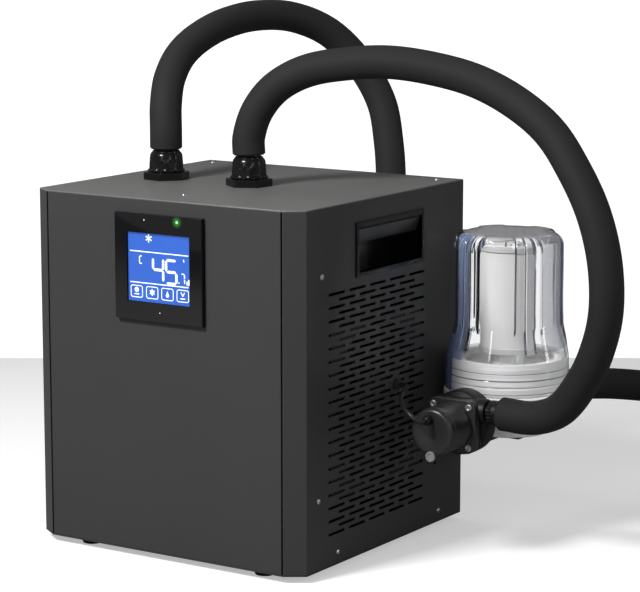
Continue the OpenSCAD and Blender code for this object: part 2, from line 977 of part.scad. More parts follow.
module pump_gland() {
    color([0.15, 0.15, 0.15])
        along_y([pump_x - gland_in, motor_front - gland_l, pump_z + gland_up])
            cylinder(r = gland_r, h = gland_l);
}

module pump_plug() {
    color([0.35, 0.35, 0.35])
        along_y([pump_x, motor_front - plug_t, pump_z - motor_r])
            cylinder(r = plug_r, h = plug_t);
}

// The volute: a round chamber with its outlet to the right and its inlet behind
module pump_volute() {
    color([0.12, 0.12, 0.13])
        difference() {
            union() {
                along_y([pump_x, volute_front, pump_z])
                    cylinder(r = volute_r, h = volute_l);
                translate([pump_x - flange_w / 2, volute_front, pump_z - flange_w / 2])
                    cube([flange_w, clamp_depth, flange_w]);
                along_x([pump_x, outlet_py, outlet_pz])
                    cylinder(r = outlet_r, h = outlet_reach);
            }
            along_y([pump_x, volute_front - over, pump_z])
                cylinder(r = impeller_r + volute_wall, h = volute_l - volute_wall + over);
            along_y([pump_x, volute_front, pump_z])
                cylinder(r = bore_r, h = volute_l + over);
            along_x([pump_x, outlet_py, outlet_pz])
                cylinder(r = bore_r, h = outlet_reach + over);
            clamp_places()
                cylinder(r = clamp_screw_r, h = flange_t + clamp_depth + over);
        }
}

// The impeller: a disc with blades, pressed on the shaft
module impeller() {
    color([0.6, 0.6, 0.6])
        along_y([pump_x, volute_front + volute_wall, pump_z])
            difference() {
                union() {
                    cylinder(r = impeller_r, h = volute_wall);
                    cylinder(r = 2 * shaft_r, h = impeller_h);
                    for (i = [0 : impeller_blades - 1])
                        rotate([0, 0, i * 360 / impeller_blades])
                            translate([shaft_r * 1.5, 0, 0])
                                cube([impeller_r - 2 * shaft_r, volute_wall / 2, impeller_h]);
                }
                translate([0, 0, -over])
                    cylinder(r = shaft_r, h = impeller_h - volute_wall + over);
            }
}

module pump_shaft() {
    color("silver")
        along_y([pump_x, motor_front + motor_l / 2 + clear, pump_z])
            cylinder(r = shaft_r, h = volute_front - motor_front - motor_l / 2 - clear + impeller_h);
}

module pump_nipple() {
    color([0.12, 0.12, 0.12])
        along_y([pump_x, volute_back, pump_z])
            ring_solid(spigot_r, bore_r, nipple_gap);
}

// The filter's head: a lower body with two side bosses, a rim and a threaded neck
module filter_head() {
    cavity_r = neck_r - boss_r / 2;
    neck_top = neck_z + neck_h;
    cavity_z = neck_top - chamber_depth;
    color([0.9, 0.9, 0.9])
        difference() {
            union() {
                translate([pump_x, filter_y, head_z])
                    rotate_extrude()
                        polygon([[0, 0], [head_lower_r - chamfer, 0], [head_lower_r, chamfer],
                                 [head_lower_r, head_lower_h], [rim_r - chamfer, head_lower_h],
                                 [rim_r, head_lower_h + chamfer], [rim_r, head_lower_h + rim_h],
                                 [neck_r, head_lower_h + rim_h],
                                 [neck_r, head_lower_h + rim_h + neck_h],
                                 [0, head_lower_h + rim_h + neck_h]]);
                along_y([pump_x, filter_y - boss_reach, pump_z])
                    cylinder(r = boss_r, h = 2 * boss_reach);
                along_y([pump_x, filter_y, pump_z])
                    cylinder(r = suction_pipe_r, h = union_end - filter_y);
                for (i = [1 : floor(neck_h / thread_pitch) - 1])
                    translate([pump_x, filter_y, neck_z + i * thread_pitch])
                        cylinder(r = neck_r + thread_t, h = thread_t);
            }
            translate([pump_x, filter_y, cavity_z])
                cylinder(r = cavity_r, h = neck_top - cavity_z + over);
            along_y([pump_x, filter_y - boss_reach - over, pump_z])
                cylinder(r = bore_r, h = boss_reach + over);
            translate([pump_x, filter_y, pump_z])
                cylinder(r = bore_r, h = neck_top - pump_z);
            along_y([pump_x, filter_y + head_lower_r / 2, pump_z])
                cylinder(r = bore_r, h = union_end);
            translate([pump_x, filter_y + head_lower_r / 2 + bore_r, pump_z])
                cylinder(r = bore_r, h = neck_top - pump_z);
            head_screw_places()
                cylinder(r = clamp_screw_r, h = screw_shank_l);
        }
    color([0.9, 0.9, 0.9])
        translate([pump_x, filter_y, cavity_z - chamfer]) {
            ring_solid(seat_r, bore_r, cartridge_z - cavity_z + chamfer);
            ring_solid(spigot_r, bore_r, cartridge_z - cavity_z + chamfer + spigot_l);
        }
}

// The clear bowl stands upside down over the cartridge and screws on the head's neck
module bowl_shape(inset) {
    body = bowl_r - inset;
    flare = collar_r - inset;
    top = bowl_h - inset;
    polygon([[0, -over], [flare, -over], [flare, 0],
             [flare - thread_t, collar_h * 0.42],
             for (a = [0 : 15 : 90])
                 [body + (flare - thread_t - body) * (1 + cos(2 * a)) / 2,
                  collar_h * (0.5 + 0.5 * a / 90)],
             for (a = [0 : 15 : 90])
                 [body - shoulder_r * (1 - cos(a)), top - shoulder_r * (1 - sin(a))],
             [0, top]]);
}

module filter_bowl() {
    color([0.85, 0.9, 0.95, 0.5])
        translate([pump_x, filter_y, bowl_z])
            difference() {
                union() {
                    rotate_extrude()
                        intersection() {
                            bowl_shape(0);
                            square([collar_r + over, bowl_h + over]);
                        }
                    for (g = [0 : rib_groups - 1], k = [0 : group_ribs - 1])
                        rotate([0, 0, rib_turn + g * 360 / rib_groups
                                + (k - (group_ribs - 1) / 2) * rib_angle])
                            translate([bowl_r - bowl_wall / 2, -rib_w / 2, collar_h + rib_w])
                                cube([bowl_wall / 2 + rib_t, rib_w,
                                      bowl_h - collar_h - shoulder_r - 2 * rib_w]);
                }
                rotate_extrude()
                    bowl_shape(bowl_wall);
            }
}

// The cartridge: a thick tube of blown fibre between two caps
module filter_cartridge() {
    color("white")
        translate([pump_x, filter_y, cartridge_floor + end_cap_t])
            ring_solid(cartridge_r, cartridge_core_r, cartridge_l - 2 * end_cap_t);
}

module cartridge_caps() {
    color([0.7, 0.7, 0.72])
        translate([pump_x, filter_y, cartridge_floor]) {
            ring_solid(cartridge_r + cap_lip, cartridge_core_r, end_cap_t);
            translate([0, 0, cartridge_l - end_cap_t])
                cylinder(r = cartridge_r + cap_lip, h = end_cap_t);
        }
}

// The seal: an elastic ring round the neck under the bowl's edge
module bowl_seal() {
    color([0.05, 0.05, 0.05])
        translate([pump_x, filter_y, neck_z])
            ring_solid(neck_r + 2 * thread_t, neck_r + fit, thread_t);
}

module head_screw_places() {
    for (x = [-1, 1], y = [-1, 1])
        translate([pump_x + x * head_lower_r / 3, filter_y + y * head_lower_r / 3, head_z])
            children();
}

module bracket_panel_places(x) {
    for (y = [-1, 1])
        along_x([x, filter_y + y * bracket_half / 2, head_z - bracket_flange_h * 0.6])
            children();
}

module bracket_panel_holes(x) {
    bracket_panel_places(x)
        cylinder(r = clamp_screw_r, h = sheet + bracket_t + 3 * over);
}

// The bracket: a shelf under the head, with a tongue in front and a flange on the cabinet
module filter_bracket() {
    color([0.1, 0.1, 0.1])
        difference() {
            union() {
                translate([cab_w, filter_y - bracket_half, head_z - bracket_t])
                    cube([pump_x - cab_w + bracket_half, 2 * bracket_half, bracket_t]);
                translate([pump_x - bracket_half / 3, filter_y - bracket_half * 1.75,
                           head_z - bracket_t])
                    cube([bracket_half * 2 / 3, bracket_half, bracket_t]);
                translate([cab_w, filter_y - bracket_half, head_z - bracket_flange_h])
                    cube([bracket_t, 2 * bracket_half, bracket_flange_h]);
            }
            head_screw_places()
                translate([0, 0, -bracket_t - over])
                    cylinder(r = clamp_screw_r, h = bracket_t + 2 * over);
            bracket_panel_holes(cab_w - over);
        }
}

module bracket_screws() {
    color("silver") {
        head_screw_places()
            translate([0, 0, -bracket_t - clamp_screw_r]) {
                cylinder(r = 2 * clamp_screw_r, h = clamp_screw_r);
                cylinder(r = clamp_screw_r, h = bracket_t + clamp_screw_r + screw_shank_l / 2);
            }
        bracket_panel_places(cab_w + bracket_t) {
            cylinder(r = 2 * clamp_screw_r, h = clamp_screw_r);
            translate([0, 0, -screw_shank_l])
                cylinder(r = clamp_screw_r, h = screw_shank_l + clamp_screw_r);
        }
    }
}

module compressor() {
    dome = comp_r / 3;
    color([0.08, 0.08, 0.08])
        translate([comp_x, comp_y, floor_z + mount_h]) {
            rotate_extrude()
                polygon([[0, 0], [comp_r - dome, 0],
                         for (a = [0 : 15 : 90])
                             [comp_r - dome + dome * sin(a), dome - dome * cos(a)],
                         for (a = [0 : 15 : 90])
                             [comp_r - dome + dome * cos(a), comp_h - dome + dome * sin(a)],
                         [0, comp_h]]);
            for (i = [0 : 2])
                rotate([0, 0, comp_turn + i * 120])
                    translate([comp_r / 2, -mount_r, 0])
                        cube([comp_r / 2 + 2 * mount_r, 2 * mount_r, cover_t * 2]);
        }
}

module compressor_mounts() {
    color([0.15, 0.15, 0.15])
        for (i = [0 : 2])
            translate([comp_x, comp_y, floor_z])
                rotate([0, 0, comp_turn + i * 120])
                    translate([comp_r + mount_r, 0, 0])
                        cylinder(r = mount_r, h = mount_h);
}

// The condenser stands on the pan behind the left louvres: tubes through packs of fins
module condenser() {
    pitch = cond_w / cond_fins;
    color([0.75, 0.75, 0.76])
        translate([cond_gap, cab_d / 2 - cond_w / 2, floor_z]) {
            for (i = [0 : cond_fins])
                translate([0, i * pitch, 0])
                    cube([cond_t, cover_t, cond_h]);
            for (i = [0 : cond_tubes - 1], x = [cond_t / 4, cond_t * 0.75])
                along_y([x, 0, (i + 0.5) * cond_h / cond_tubes])
                    cylinder(r = line_r * 1.5, h = cond_w + cover_t);
        }
}

module fan_shroud() {
    side = 2 * (fan_r + 2 * fan_gap);
    color([0.1, 0.1, 0.1])
        difference() {
            translate([inner_x - shroud_d, fan_y - side / 2, fan_z - side / 2])
                cube([shroud_d, side, side]);
            along_x([inner_x - shroud_d - over, fan_y, fan_z])
                cylinder(r = fan_r + fan_gap, h = shroud_d + 2 * over);
        }
    color([0.1, 0.1, 0.1])
        for (i = [0 : 3])
            along_x([inner_x - shroud_d - strut_t, fan_y, fan_z])
                rotate([0, 0, 45 + i * 90])
                    translate([fan_motor_r, -strut_w / 2, 0])
                        cube([fan_r + 2 * fan_gap - fan_motor_r, strut_w, strut_t + strut_in]);
}

module fan_motor() {
    color([0.15, 0.15, 0.16])
        difference() {
            along_x([inner_x - shroud_d - fan_motor_l, fan_y, fan_z])
                cylinder(r = fan_motor_r, h = fan_motor_l);
            along_x([inner_x - shroud_d - fan_motor_l / 2, fan_y, fan_z])
                cylinder(r = shaft_r + fit, h = fan_motor_l);
        }
}

// The fan: a hub with its shaft, and curved blades cut to the fan's radius
module fan_blades() {
    chord = 2 * fan_hub_l;
    color([0.08, 0.08, 0.08])
        along_x([inner_x - shroud_d + fan_gap, fan_y, fan_z]) {
            cylinder(r = fan_hub_r, h = fan_hub_l);
            translate([0, 0, -fan_motor_l / 2 - fan_gap + clear])
                cylinder(r = shaft_r, h = fan_motor_l / 2 + fan_gap);
            intersection() {
                cylinder(r = fan_r, h = fan_hub_l);
                for (i = [0 : fan_count - 1])
                    rotate([0, 0, i * 360 / fan_count])
                        translate([fan_hub_r / 2, 0, fan_hub_l / 2])
                            rotate([fan_pitch, 0, 0])
                                translate([0, -chord / 2, -cover_t / 2])
                                    cube([fan_r, chord, cover_t]);
            }
        }
}

module evaporator_tank() {
    color([0.12, 0.12, 0.12])
        along_x([tank_x, port_y, tank_z])
            rotate_extrude()
                polygon([[0, 0], [tank_r - chamfer, 0], [tank_r, chamfer],
                         [tank_r, tank_l - chamfer], [tank_r - chamfer, tank_l], [0, tank_l]]);
}

module tank_bracket() {
    leg_w = tank_r;
    color([0.5, 0.5, 0.5])
        difference() {
            union() {
                for (x = [tank_x + tank_r / 2, tank_x + tank_l - tank_r / 2])
                    translate([x, port_y - leg_w * 0.75, floor_z])
                        cube([bracket_t, leg_w, tank_z - tank_r / 2 - floor_z]);
            }
            along_x([0, port_y, tank_z])
                cylinder(r = tank_r, h = cab_w);
        }
}

// A run of pipe with round corners, drawn from point to point
module pipe_run(points, r) {
    for (i = [0 : len(points) - 2]) {
        d = points[i + 1] - points[i];
        translate(points[i])
            rotate([0, acos(d[2] / norm(d)), atan2(d[1], d[0])])
                cylinder(r = r, h = norm(d));
    }
    for (i = [1 : len(points) - 2])
        translate(points[i])
            sphere(r = r);
}

// The copper lines: hot gas to the condenser, cold liquid from it, and suction gas back
module refrigerant_lines() {
    gas_z = floor_z + mount_h + comp_h;
    cond_y = cab_d / 2 + cond_w / 2 + cover_t;
    out_y = cond_y + drier_r;
    cond_pipe_x = cond_gap + cond_t / 4;
    cond_top = floor_z + cond_h * (cond_tubes - 0.5) / cond_tubes;
    cond_low = floor_z + cond_h * 0.5 / cond_tubes;
    color([0.72, 0.45, 0.3])
        difference() {
            union() {
                pipe_run([[comp_x, comp_y + comp_r / 2, gas_z],
                          [comp_x, comp_y + comp_r / 2, gas_z + drier_l],
                          [comp_x, out_y, gas_z + drier_l],
                          [cond_pipe_x, out_y, gas_z + drier_l],
                          [cond_pipe_x, out_y, cond_top],
                          [cond_pipe_x, cond_y, cond_top]], line_r);
                pipe_run([[cond_pipe_x, cond_y, cond_low],
                          [cond_pipe_x, drier_y, cond_low],
                          [drier_x, drier_y, cond_low],
                          [drier_x, drier_y, drier_z]], line_r);
                pipe_run([[drier_x, drier_y, drier_z + drier_l],
                          [drier_x, drier_y, tank_z + tank_r / 2],
                          [drier_x, port_y + tank_r / 2, tank_z + tank_r / 2]], line_r);
                pipe_run([[comp_x - comp_r / 2, comp_y, gas_z],
                          [comp_x - comp_r / 2, comp_y, tank_z - tank_r / 2],
                          [comp_x - comp_r / 2, port_y + tank_r / 2, tank_z - tank_r / 2]], line_r);
            }
            along_x([0, port_y, tank_z])
                cylinder(r = tank_r, h = cab_w);
        }
}

module filter_drier() {
    color([0.8, 0.55, 0.35])
        translate([drier_x, drier_y, drier_z])
            cylinder(r = drier_r, h = drier_l);
}

// Short pipes from the ports down to the tank
module water_pipes() {
    color([0.2, 0.2, 0.2])
        difference() {
            for (x = [port_left_x, port_right_x])
                translate([x, port_y, tank_z])
                    ring_solid(port_neck_r, port_bore_r, top_z - port_shank_l - tank_z);
            along_x([0, port_y, tank_z])
                cylinder(r = tank_r, h = cab_w);
        }
}

module power_inlet() {
    color([0.08, 0.08, 0.08])
        difference() {
            union() {
                translate([inlet_x - inlet_w / 2, cab_d - inlet_d, inlet_z])
                    cube([inlet_w, inlet_d, inlet_h]);
                translate([inlet_x - inlet_w / 2 - inlet_rim, cab_d, inlet_z - inlet_rim])
                    cube([inlet_w + 2 * inlet_rim, inlet_rim / 2, inlet_h + 2 * inlet_rim]);
            }
            translate([inlet_x - socket_w / 2, cab_d + inlet_rim / 2 - socket_d,
                       inlet_z + inlet_h / 2 - socket_h / 2])
                cube([socket_w, socket_d + over, socket_h]);
        }
    color([0.8, 0.8, 0.8])
        for (x = [-1, 0, 1])
            translate([inlet_x + x * socket_w / 3 - pin_t / 2, cab_d + inlet_rim / 2 - socket_d,
                       inlet_z + inlet_h / 2 - pin_w / 2 + (x == 0 ? pin_w / 2 : -pin_w / 4)])
                cube([pin_t, socket_d - inlet_rim, pin_w]);
}

// The switch: a frame in the panel and a rocker that turns on its middle
module power_switch() {
    color([0.08, 0.08, 0.08])
        translate([inlet_x - switch_w / 2, cab_d - sheet, switch_z])
            difference() {
                union() {
                    translate([0, sheet - switch_d, 0])
                        cube([switch_w, switch_d, switch_h]);
                    translate([-inlet_rim / 2, sheet, -inlet_rim / 2])
                        cube([switch_w + inlet_rim, inlet_rim / 2, switch_h + inlet_rim]);
                }
                translate([pin_t, sheet - switch_d + pin_t, pin_t])
                    cube([switch_w - 2 * pin_t, inlet_d, switch_h - 2 * pin_t]);
            }
}

module switch_rocker() {
    rock_r = switch_h / 2 - pin_t - 2 * clear;
    color([0.05, 0.05, 0.05])
        along_x([inlet_x - switch_w / 2 + pin_t + clear, cab_d + inlet_rim / 2 - rock_r * 0.6,
                 switch_z + switch_h / 2])
            difference() {
                cylinder(r = rock_r, h = switch_w - 2 * (pin_t + clear));
                translate([-rock_r, rock_r * 0.7, -over])
                    cube([2 * rock_r, rock_r, switch_w]);
            }
}

module cable_grommet() {
    color([0.08, 0.08, 0.08])
        translate([cab_w + grommet_out, grommet_y, grommet_z])
            rotate([0, -90, 0])
                rotate_extrude()
                    polygon([[0, 0], [grommet_r - sheet, 0], [grommet_r, grommet_out / 2],
                             [grommet_r, grommet_out], [grommet_r - 2 * sheet, grommet_out],
                             [grommet_r - 2 * sheet, grommet_out + sheet + cover_t],
                             [0, grommet_out + sheet + cover_t]]);
}

place() base_pan();
place() feet();
place() side_panel_right();
place() side_panel_left();
place() front_panel();
place() rear_panel();
place() top_cover();
place() panel_screws();
place() handle_right();
place() handle_left();
place() display_bezel();
place() display_screen();
place() status_led();
place() display_box();
place() control_board();
place() port_left_body();
place() port_right_body();
place() port_left_cap();
place() port_right_cap();
place() port_locknuts();
place() hose_return();
place() hose_supply();
place() hose_suction();
place() return_coupling();
place() return_coupling_nut();
place() suction_coupling();
place() suction_coupling_nut();
place() outlet_union();
place() suction_union();
place() pump_motor();
place() pump_gland();
place() pump_plug();
place() pump_cable();
place() pump_volute();
place() pump_screws();
place() impeller();
place() pump_shaft();
place() pump_nipple();
place() filter_head();
place() filter_bowl();
place() filter_cartridge();
place() cartridge_caps();
place() bowl_seal();
place() filter_bracket();
place() bracket_screws();
place() compressor();
place() compressor_mounts();
place() condenser();
place() fan_shroud();
place() fan_motor();
place() fan_blades();
place() evaporator_tank();
place() tank_bracket();
place() refrigerant_lines();
place() filter_drier();
place() water_pipes();
place() power_inlet();
place() power_switch();
place() switch_rocker();
place() cable_grommet();
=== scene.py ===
import json
import math

import bmesh
import bpy
import numpy as np
from bpy.props import FloatProperty, FloatVectorProperty
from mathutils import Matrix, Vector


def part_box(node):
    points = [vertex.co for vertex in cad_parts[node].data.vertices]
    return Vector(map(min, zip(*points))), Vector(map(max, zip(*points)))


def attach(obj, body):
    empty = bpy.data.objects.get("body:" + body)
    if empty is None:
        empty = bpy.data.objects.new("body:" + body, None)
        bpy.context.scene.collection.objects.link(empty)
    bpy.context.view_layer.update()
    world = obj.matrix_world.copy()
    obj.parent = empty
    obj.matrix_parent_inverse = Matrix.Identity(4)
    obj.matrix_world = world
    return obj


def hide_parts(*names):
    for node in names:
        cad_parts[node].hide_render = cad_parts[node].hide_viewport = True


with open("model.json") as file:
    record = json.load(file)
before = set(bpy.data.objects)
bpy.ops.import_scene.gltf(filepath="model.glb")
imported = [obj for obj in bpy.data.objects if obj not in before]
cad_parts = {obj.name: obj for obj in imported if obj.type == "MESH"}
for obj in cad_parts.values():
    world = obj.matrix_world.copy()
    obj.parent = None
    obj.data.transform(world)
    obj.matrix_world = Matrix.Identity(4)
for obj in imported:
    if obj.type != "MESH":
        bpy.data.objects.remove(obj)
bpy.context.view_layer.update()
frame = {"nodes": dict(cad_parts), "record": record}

bl_info = {
    "name": "Ice bath chiller",
    "version": (1, 0, 0),
    "blender": (4, 5, 0),
    "location": "3D View > Sidebar > Chiller",
    "description": "Dresses the chiller's cabinet, hoses, pump and water filter",
    "category": "Object",
}

MM = 0.001
NODES = frame["nodes"]
CORNER = np.array([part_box("side_panel_left")[0].x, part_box("front_panel")[0].y, 0.0])


def place(points_mm):
    """Points given from the cabinet's front left corner in millimetres, in the part's frame."""
    return np.asarray(points_mm, float) * MM + CORNER


def box_mm(node):
    """A CAD node's low and high corner, from the cabinet's front left corner in millimetres."""
    return [(np.array(corner) - CORNER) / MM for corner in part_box(node)]


# Places taken from the CAD, in millimetres
BOWL_X, BOWL_Y = np.mean(box_mm("filter_bowl"), axis=0)[:2]
BOWL_Z = box_mm("filter_bowl")[0][2]
HEAD_Z = box_mm("filter_head")[0][2]
SPOUT_Z = HEAD_Z + 28        # the level of the filter's spouts and of the pump's axis
PORTS = {"left": (73.0, 160.0, 413.0), "right": (192.0, 160.0, 413.0)}
BEZEL_LOW, BEZEL_HIGH = box_mm("display_bezel")
SCREEN_LOW, SCREEN_HIGH = box_mm("display_screen")
MOTOR_Y = box_mm("pump_motor")[0][1]
VOLUTE_Y = box_mm("pump_volute")[0][1]
OUTLET = (box_mm("pump_volute")[1][0], VOLUTE_Y + 11, SPOUT_Z + 16)

# Radii in metres, and routes from the cabinet's front left corner in millimetres
HOSE_R = 0.019
CABLE_R = 0.0025
FLOOR_GAP = 0.2 * MM
RETURN_ROUTE = [
    (73, 160, 449), (73, 160, 470), (68, 167, 500), (59, 187, 529), (52, 220, 555),
    (50, 262, 574), (53, 311, 588), (62, 366, 595), (79, 420, 591), (103, 467, 570),
    (130, 496, 531), (159, 502, 483), (181, 485, 434), (199, 462, 385),
    (203, 454, 330), (203, 452, 273), (203, 452, 216), (199, 452, 160),
    (180, 452, 106), (150, 452, 58), (118, 452, 30), (84, 452, 19), (46, 452, 19),
]
SUPPLY_ROUTE = [
    (192, 160, 449), (192, 160, 470), (202, 164, 501), (224, 171, 528),
    (259, 181, 547), (305, 193, 556), (353, 205, 559), (407, 215, 553),
    (460, 219, 541), (511, 216, 520), (557, 207, 492), (594, 194, 454),
    (624, 184, 409), (641, 179, 357), (642, 181, 302), (625, 190, 251),
    (600, 201, 212), (572, 210, 183), (538, 214, 170), (498, 214, 170),
]
SUCTION_ROUTE = [
    (445, 412, 154), (445, 450, 154), (460, 492, 152), (490, 532, 148),
    (534, 561, 142), (588, 570, 133), (640, 561, 121), (688, 538, 103),
    (728, 503, 83), (757, 458, 63), (774, 409, 45), (780, 358, 32),
    (780, 306, 23), (780, 253, 19), (780, 208, 19),
]
CABLE_ROUTE = [
    (442, 141, 168), (442, 134, 168), (438, 127, 172), (429, 127, 178),
    (416, 137, 182), (403, 153, 186), (393, 172, 190), (388, 188, 192),
    (382, 199, 192), (374, 199, 192),
]


# Settings

class ChillerStage(bpy.types.PropertyGroup):
    """The floor, the wall, the lamps and the camera."""

    lens: FloatProperty(
        name="Lens", description="Focal length", default=138.18, unit="CAMERA")
    eye: FloatVectorProperty(
        name="Eye", description="Camera's place from the cabinet's front left corner",
        default=(1.8053, -2.1552, 0.7654), subtype="XYZ", unit="LENGTH")
    heading: FloatProperty(
        name="Heading", description="Turn of the camera to the left of straight back",
        default=math.radians(33.2069), subtype="ANGLE", unit="ROTATION")
    dip: FloatProperty(
        name="Dip", description="Downward tilt of the camera",
        default=math.radians(9.6976), subtype="ANGLE", unit="ROTATION")
    wall_distance: FloatProperty(
        name="Wall distance", description="Level distance from camera to wall",
        default=3.886, unit="LENGTH")
    wall_half: FloatProperty(
        name="Wall half width", description="Half width of the white wall",
        default=0.85, unit="LENGTH")
    wall_height: FloatProperty(
        name="Wall height", description="Height of the white wall", default=1.9, unit="LENGTH")
    key_power: FloatProperty(
        name="Key lamp", description="Power of the key lamp", default=38.0)
    key_heading: FloatProperty(
        name="Key heading", description="Way to the key lamp, from straight right to the back",
        default=math.radians(258), subtype="ANGLE", unit="ROTATION")
    key_height: FloatProperty(
        name="Key height", description="Height of the key lamp above the level",
        default=math.radians(41), subtype="ANGLE", unit="ROTATION")
    fill_power: FloatProperty(
        name="Fill lamp", description="Power of the fill lamp", default=8.0)
    rim_power: FloatProperty(
        name="Rim lamp", description="Power of the tall lamp beside the hose", default=5.0)
    rim_heading: FloatProperty(
        name="Rim heading", description="Way to the rim lamp, from straight right to the back",
        default=math.radians(22), subtype="ANGLE", unit="ROTATION")
    strip_power: FloatProperty(
        name="Strip lamps", description="Power of each narrow lamp that the nuts mirror",
        default=3.0)
    sky: FloatProperty(
        name="Sky", description="Strength of the room's light on the object", default=0.24)
    floor_near: FloatProperty(
        name="Near floor", description="Light of the floor's own, near the object", default=0.46)
    floor_far: FloatProperty(
        name="Far floor", description="Light of the floor's own, at the wall", default=0.34)


class ChillerFinish(bpy.types.PropertyGroup):
    """The colours of the chiller's finishes."""

    cabinet: FloatVectorProperty(
        name="Cabinet", description="Powder coat of the cabinet",
        default=(0.0455, 0.0458, 0.0465), subtype="COLOR")
    # Painted light: about three times lighter than the cabinet's coat, for the sky that the flat
    # top mirrors.
    cover: FloatVectorProperty(
        name="Cover", description="Powder coat of the top cover",
        default=(0.145, 0.145, 0.1425), subtype="COLOR")
    foam: FloatVectorProperty(
        name="Foam", description="Insulation of the hoses",
        default=(0.021, 0.021, 0.0213), subtype="COLOR")
    plastic: FloatVectorProperty(
        name="Plastic", description="Black moulded plastic",
        default=(0.0045, 0.0045, 0.0048), subtype="COLOR")
    screen: FloatVectorProperty(
        name="Screen", description="Backlight of the display",
        default=(0.032, 0.105, 0.46), subtype="COLOR")
    head: FloatVectorProperty(
        name="Filter head", description="White plastic of the filter's head",
        default=(0.92, 0.923, 0.927), subtype="COLOR")
    bowl: FloatVectorProperty(
        name="Bowl", description="Tint of the clear bowl", default=(1.0, 1.0, 1.0),
        subtype="COLOR")
    bowl_rim: FloatVectorProperty(
        name="Bowl edge", description="Tint of the clear bowl where it is seen edge on",
        default=(0.5, 0.54, 0.64), subtype="COLOR")
    # Painted shade: a grey tint that darkens the bowl's side away from the cabinet.
    bowl_painted_shade: FloatVectorProperty(
        name="Bowl shade", description="Grey tint on the bowl's side away from the cabinet",
        default=(0.66, 0.67, 0.69), subtype="COLOR")
    # Painted reflection: a blue tint that stands in for the dark cabinet seen in the bowl's side
    # towards it.
    bowl_painted_reflection: FloatVectorProperty(
        name="Bowl side", description="Blue tint on the bowl's side towards the cabinet",
        default=(0.38, 0.46, 0.66), subtype="COLOR")
    # Painted shade: a grey tint that darkens the bowl's flat top.
    bowl_top_painted_shade: FloatVectorProperty(
        name="Bowl top", description="Tint of the clear bowl's flat top",
        default=(0.47, 0.47, 0.485), subtype="COLOR")
    # Painted shade: dark lines in the grooves beside the flutes and in the collar's rings, where
    # refraction darkens the plastic.
    bowl_groove_painted_shade: FloatVectorProperty(
        name="Bowl grooves", description="Tint in the grooves beside the bowl's flutes",
        default=(0.06, 0.07, 0.1), subtype="COLOR")


# Surfaces

def grid_faces(rows, columns, wrap_rows=False, wrap_columns=False):
    """Quads between neighbours of a grid whose points are counted row by row."""
    r = np.arange(rows if wrap_rows else rows - 1)
    c = np.arange(columns if wrap_columns else columns - 1)
    i, j = np.meshgrid(r, c, indexing="ij")
    below, right = (i + 1) % rows, (j + 1) % columns
    corners = (i * columns + j, i * columns + right, below * columns + right, below * columns + j)
    return np.stack(corners, axis=-1).reshape(-1, 4).tolist()


def loft_faces(rows, columns):
    """Quads round a stack of closed rings, with a many-sided face on each open end."""
    faces = [face[::-1] for face in grid_faces(rows, columns, wrap_columns=True)]
    last = (rows - 1) * columns
    return faces + [list(range(columns)), list(range(last, last + columns))[::-1]]


def new_piece(name, points, faces, finish=None, smooth=True, sharp=None):
    """A mesh object at the origin from points in metres and lists of corner numbers."""
    mesh = bpy.data.meshes.new(name)
    mesh.from_pydata(np.asarray(points, float).tolist(), [], faces)
    mesh.validate()
    piece = bpy.data.objects.new(name, mesh)
    bpy.context.scene.collection.objects.link(piece)
    if finish:
        mesh.materials.append(bpy.data.materials[finish])
    mesh.polygons.foreach_set("use_smooth", [smooth] * len(mesh.polygons))
    if sharp is not None:
        mesh.set_sharp_from_angle(angle=math.radians(sharp))
    return piece


def weld(piece, smooth=True, sharp=40, doubled=1e-6, thin=1e-7):
    """Joins doubled points, so that poles and seams close, and turns all faces outwards."""
    mesh = piece.data
    shell = bmesh.new()
    shell.from_mesh(mesh)
    bmesh.ops.remove_doubles(shell, verts=shell.verts, dist=doubled)
    bmesh.ops.dissolve_degenerate(shell, edges=shell.edges, dist=thin)
    bmesh.ops.recalc_face_normals(shell, faces=shell.faces)
    shell.to_mesh(mesh)
    shell.free()
    mesh.polygons.foreach_set("use_smooth", [smooth] * len(mesh.polygons))
    mesh.set_sharp_from_angle(angle=math.radians(sharp))
    return piece


def own(piece, node, body="root"):
    """Puts a piece on its body in place of its CAD node, which it hides."""
    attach(piece, body)
    if node:
        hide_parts(node)


def lathe(profile, sides, centre, axis="Z", ripple=None):
    """Points of a profile of (radius, height) turned round an axis through centre.

    Point (i, k) lies at radius_i + ripple(i, angle_k) in the direction angle_k, at height_i
    along the axis.
    """
    angle = np.arange(sides) * 2 * math.pi / sides
    radius = profile[:, 0][:, None] + np.zeros((1, sides))
    if ripple is not None:
        radius = radius + ripple(profile[:, 1][:, None], angle[None, :])
    a = radius * np.cos(angle)[None, :]
    b = radius * np.sin(angle)[None, :]
    h = profile[:, 1][:, None] + np.zeros((1, sides))
    order = {"Z": (a, b, h), "X": (h, a, b), "Y": (b, h, a)}[axis]
    return np.stack(order, axis=-1).reshape(-1, 3) + centre


def turned(name, profile_mm, centre_mm, finish, node, axis="Z", sides=96, ripple=None,
           closed=False, sharp=35, slot=None, body="root"):
    """A solid turned round an axis: a profile of (radius, height) in millimetres.

    An open profile starts and ends on the axis; a closed one runs round a ring's section.
    """
    profile = np.asarray(profile_mm, float) * MM
    points = lathe(profile, sides, place(centre_mm), axis, ripple)
    faces = grid_faces(len(profile), sides, wrap_rows=closed, wrap_columns=True)
    own(weld(new_piece(name, points, faces, finish), sharp=sharp), node, body)


def arc(centre, radius, start, end, steps=6):
    """Points of an arc in the (radius, height) plane between two angles in degrees."""
    t = np.radians(np.linspace(start, end, steps + 1))
    return [(centre[0] + radius * math.cos(x), centre[1] + radius * math.sin(x)) for x in t]


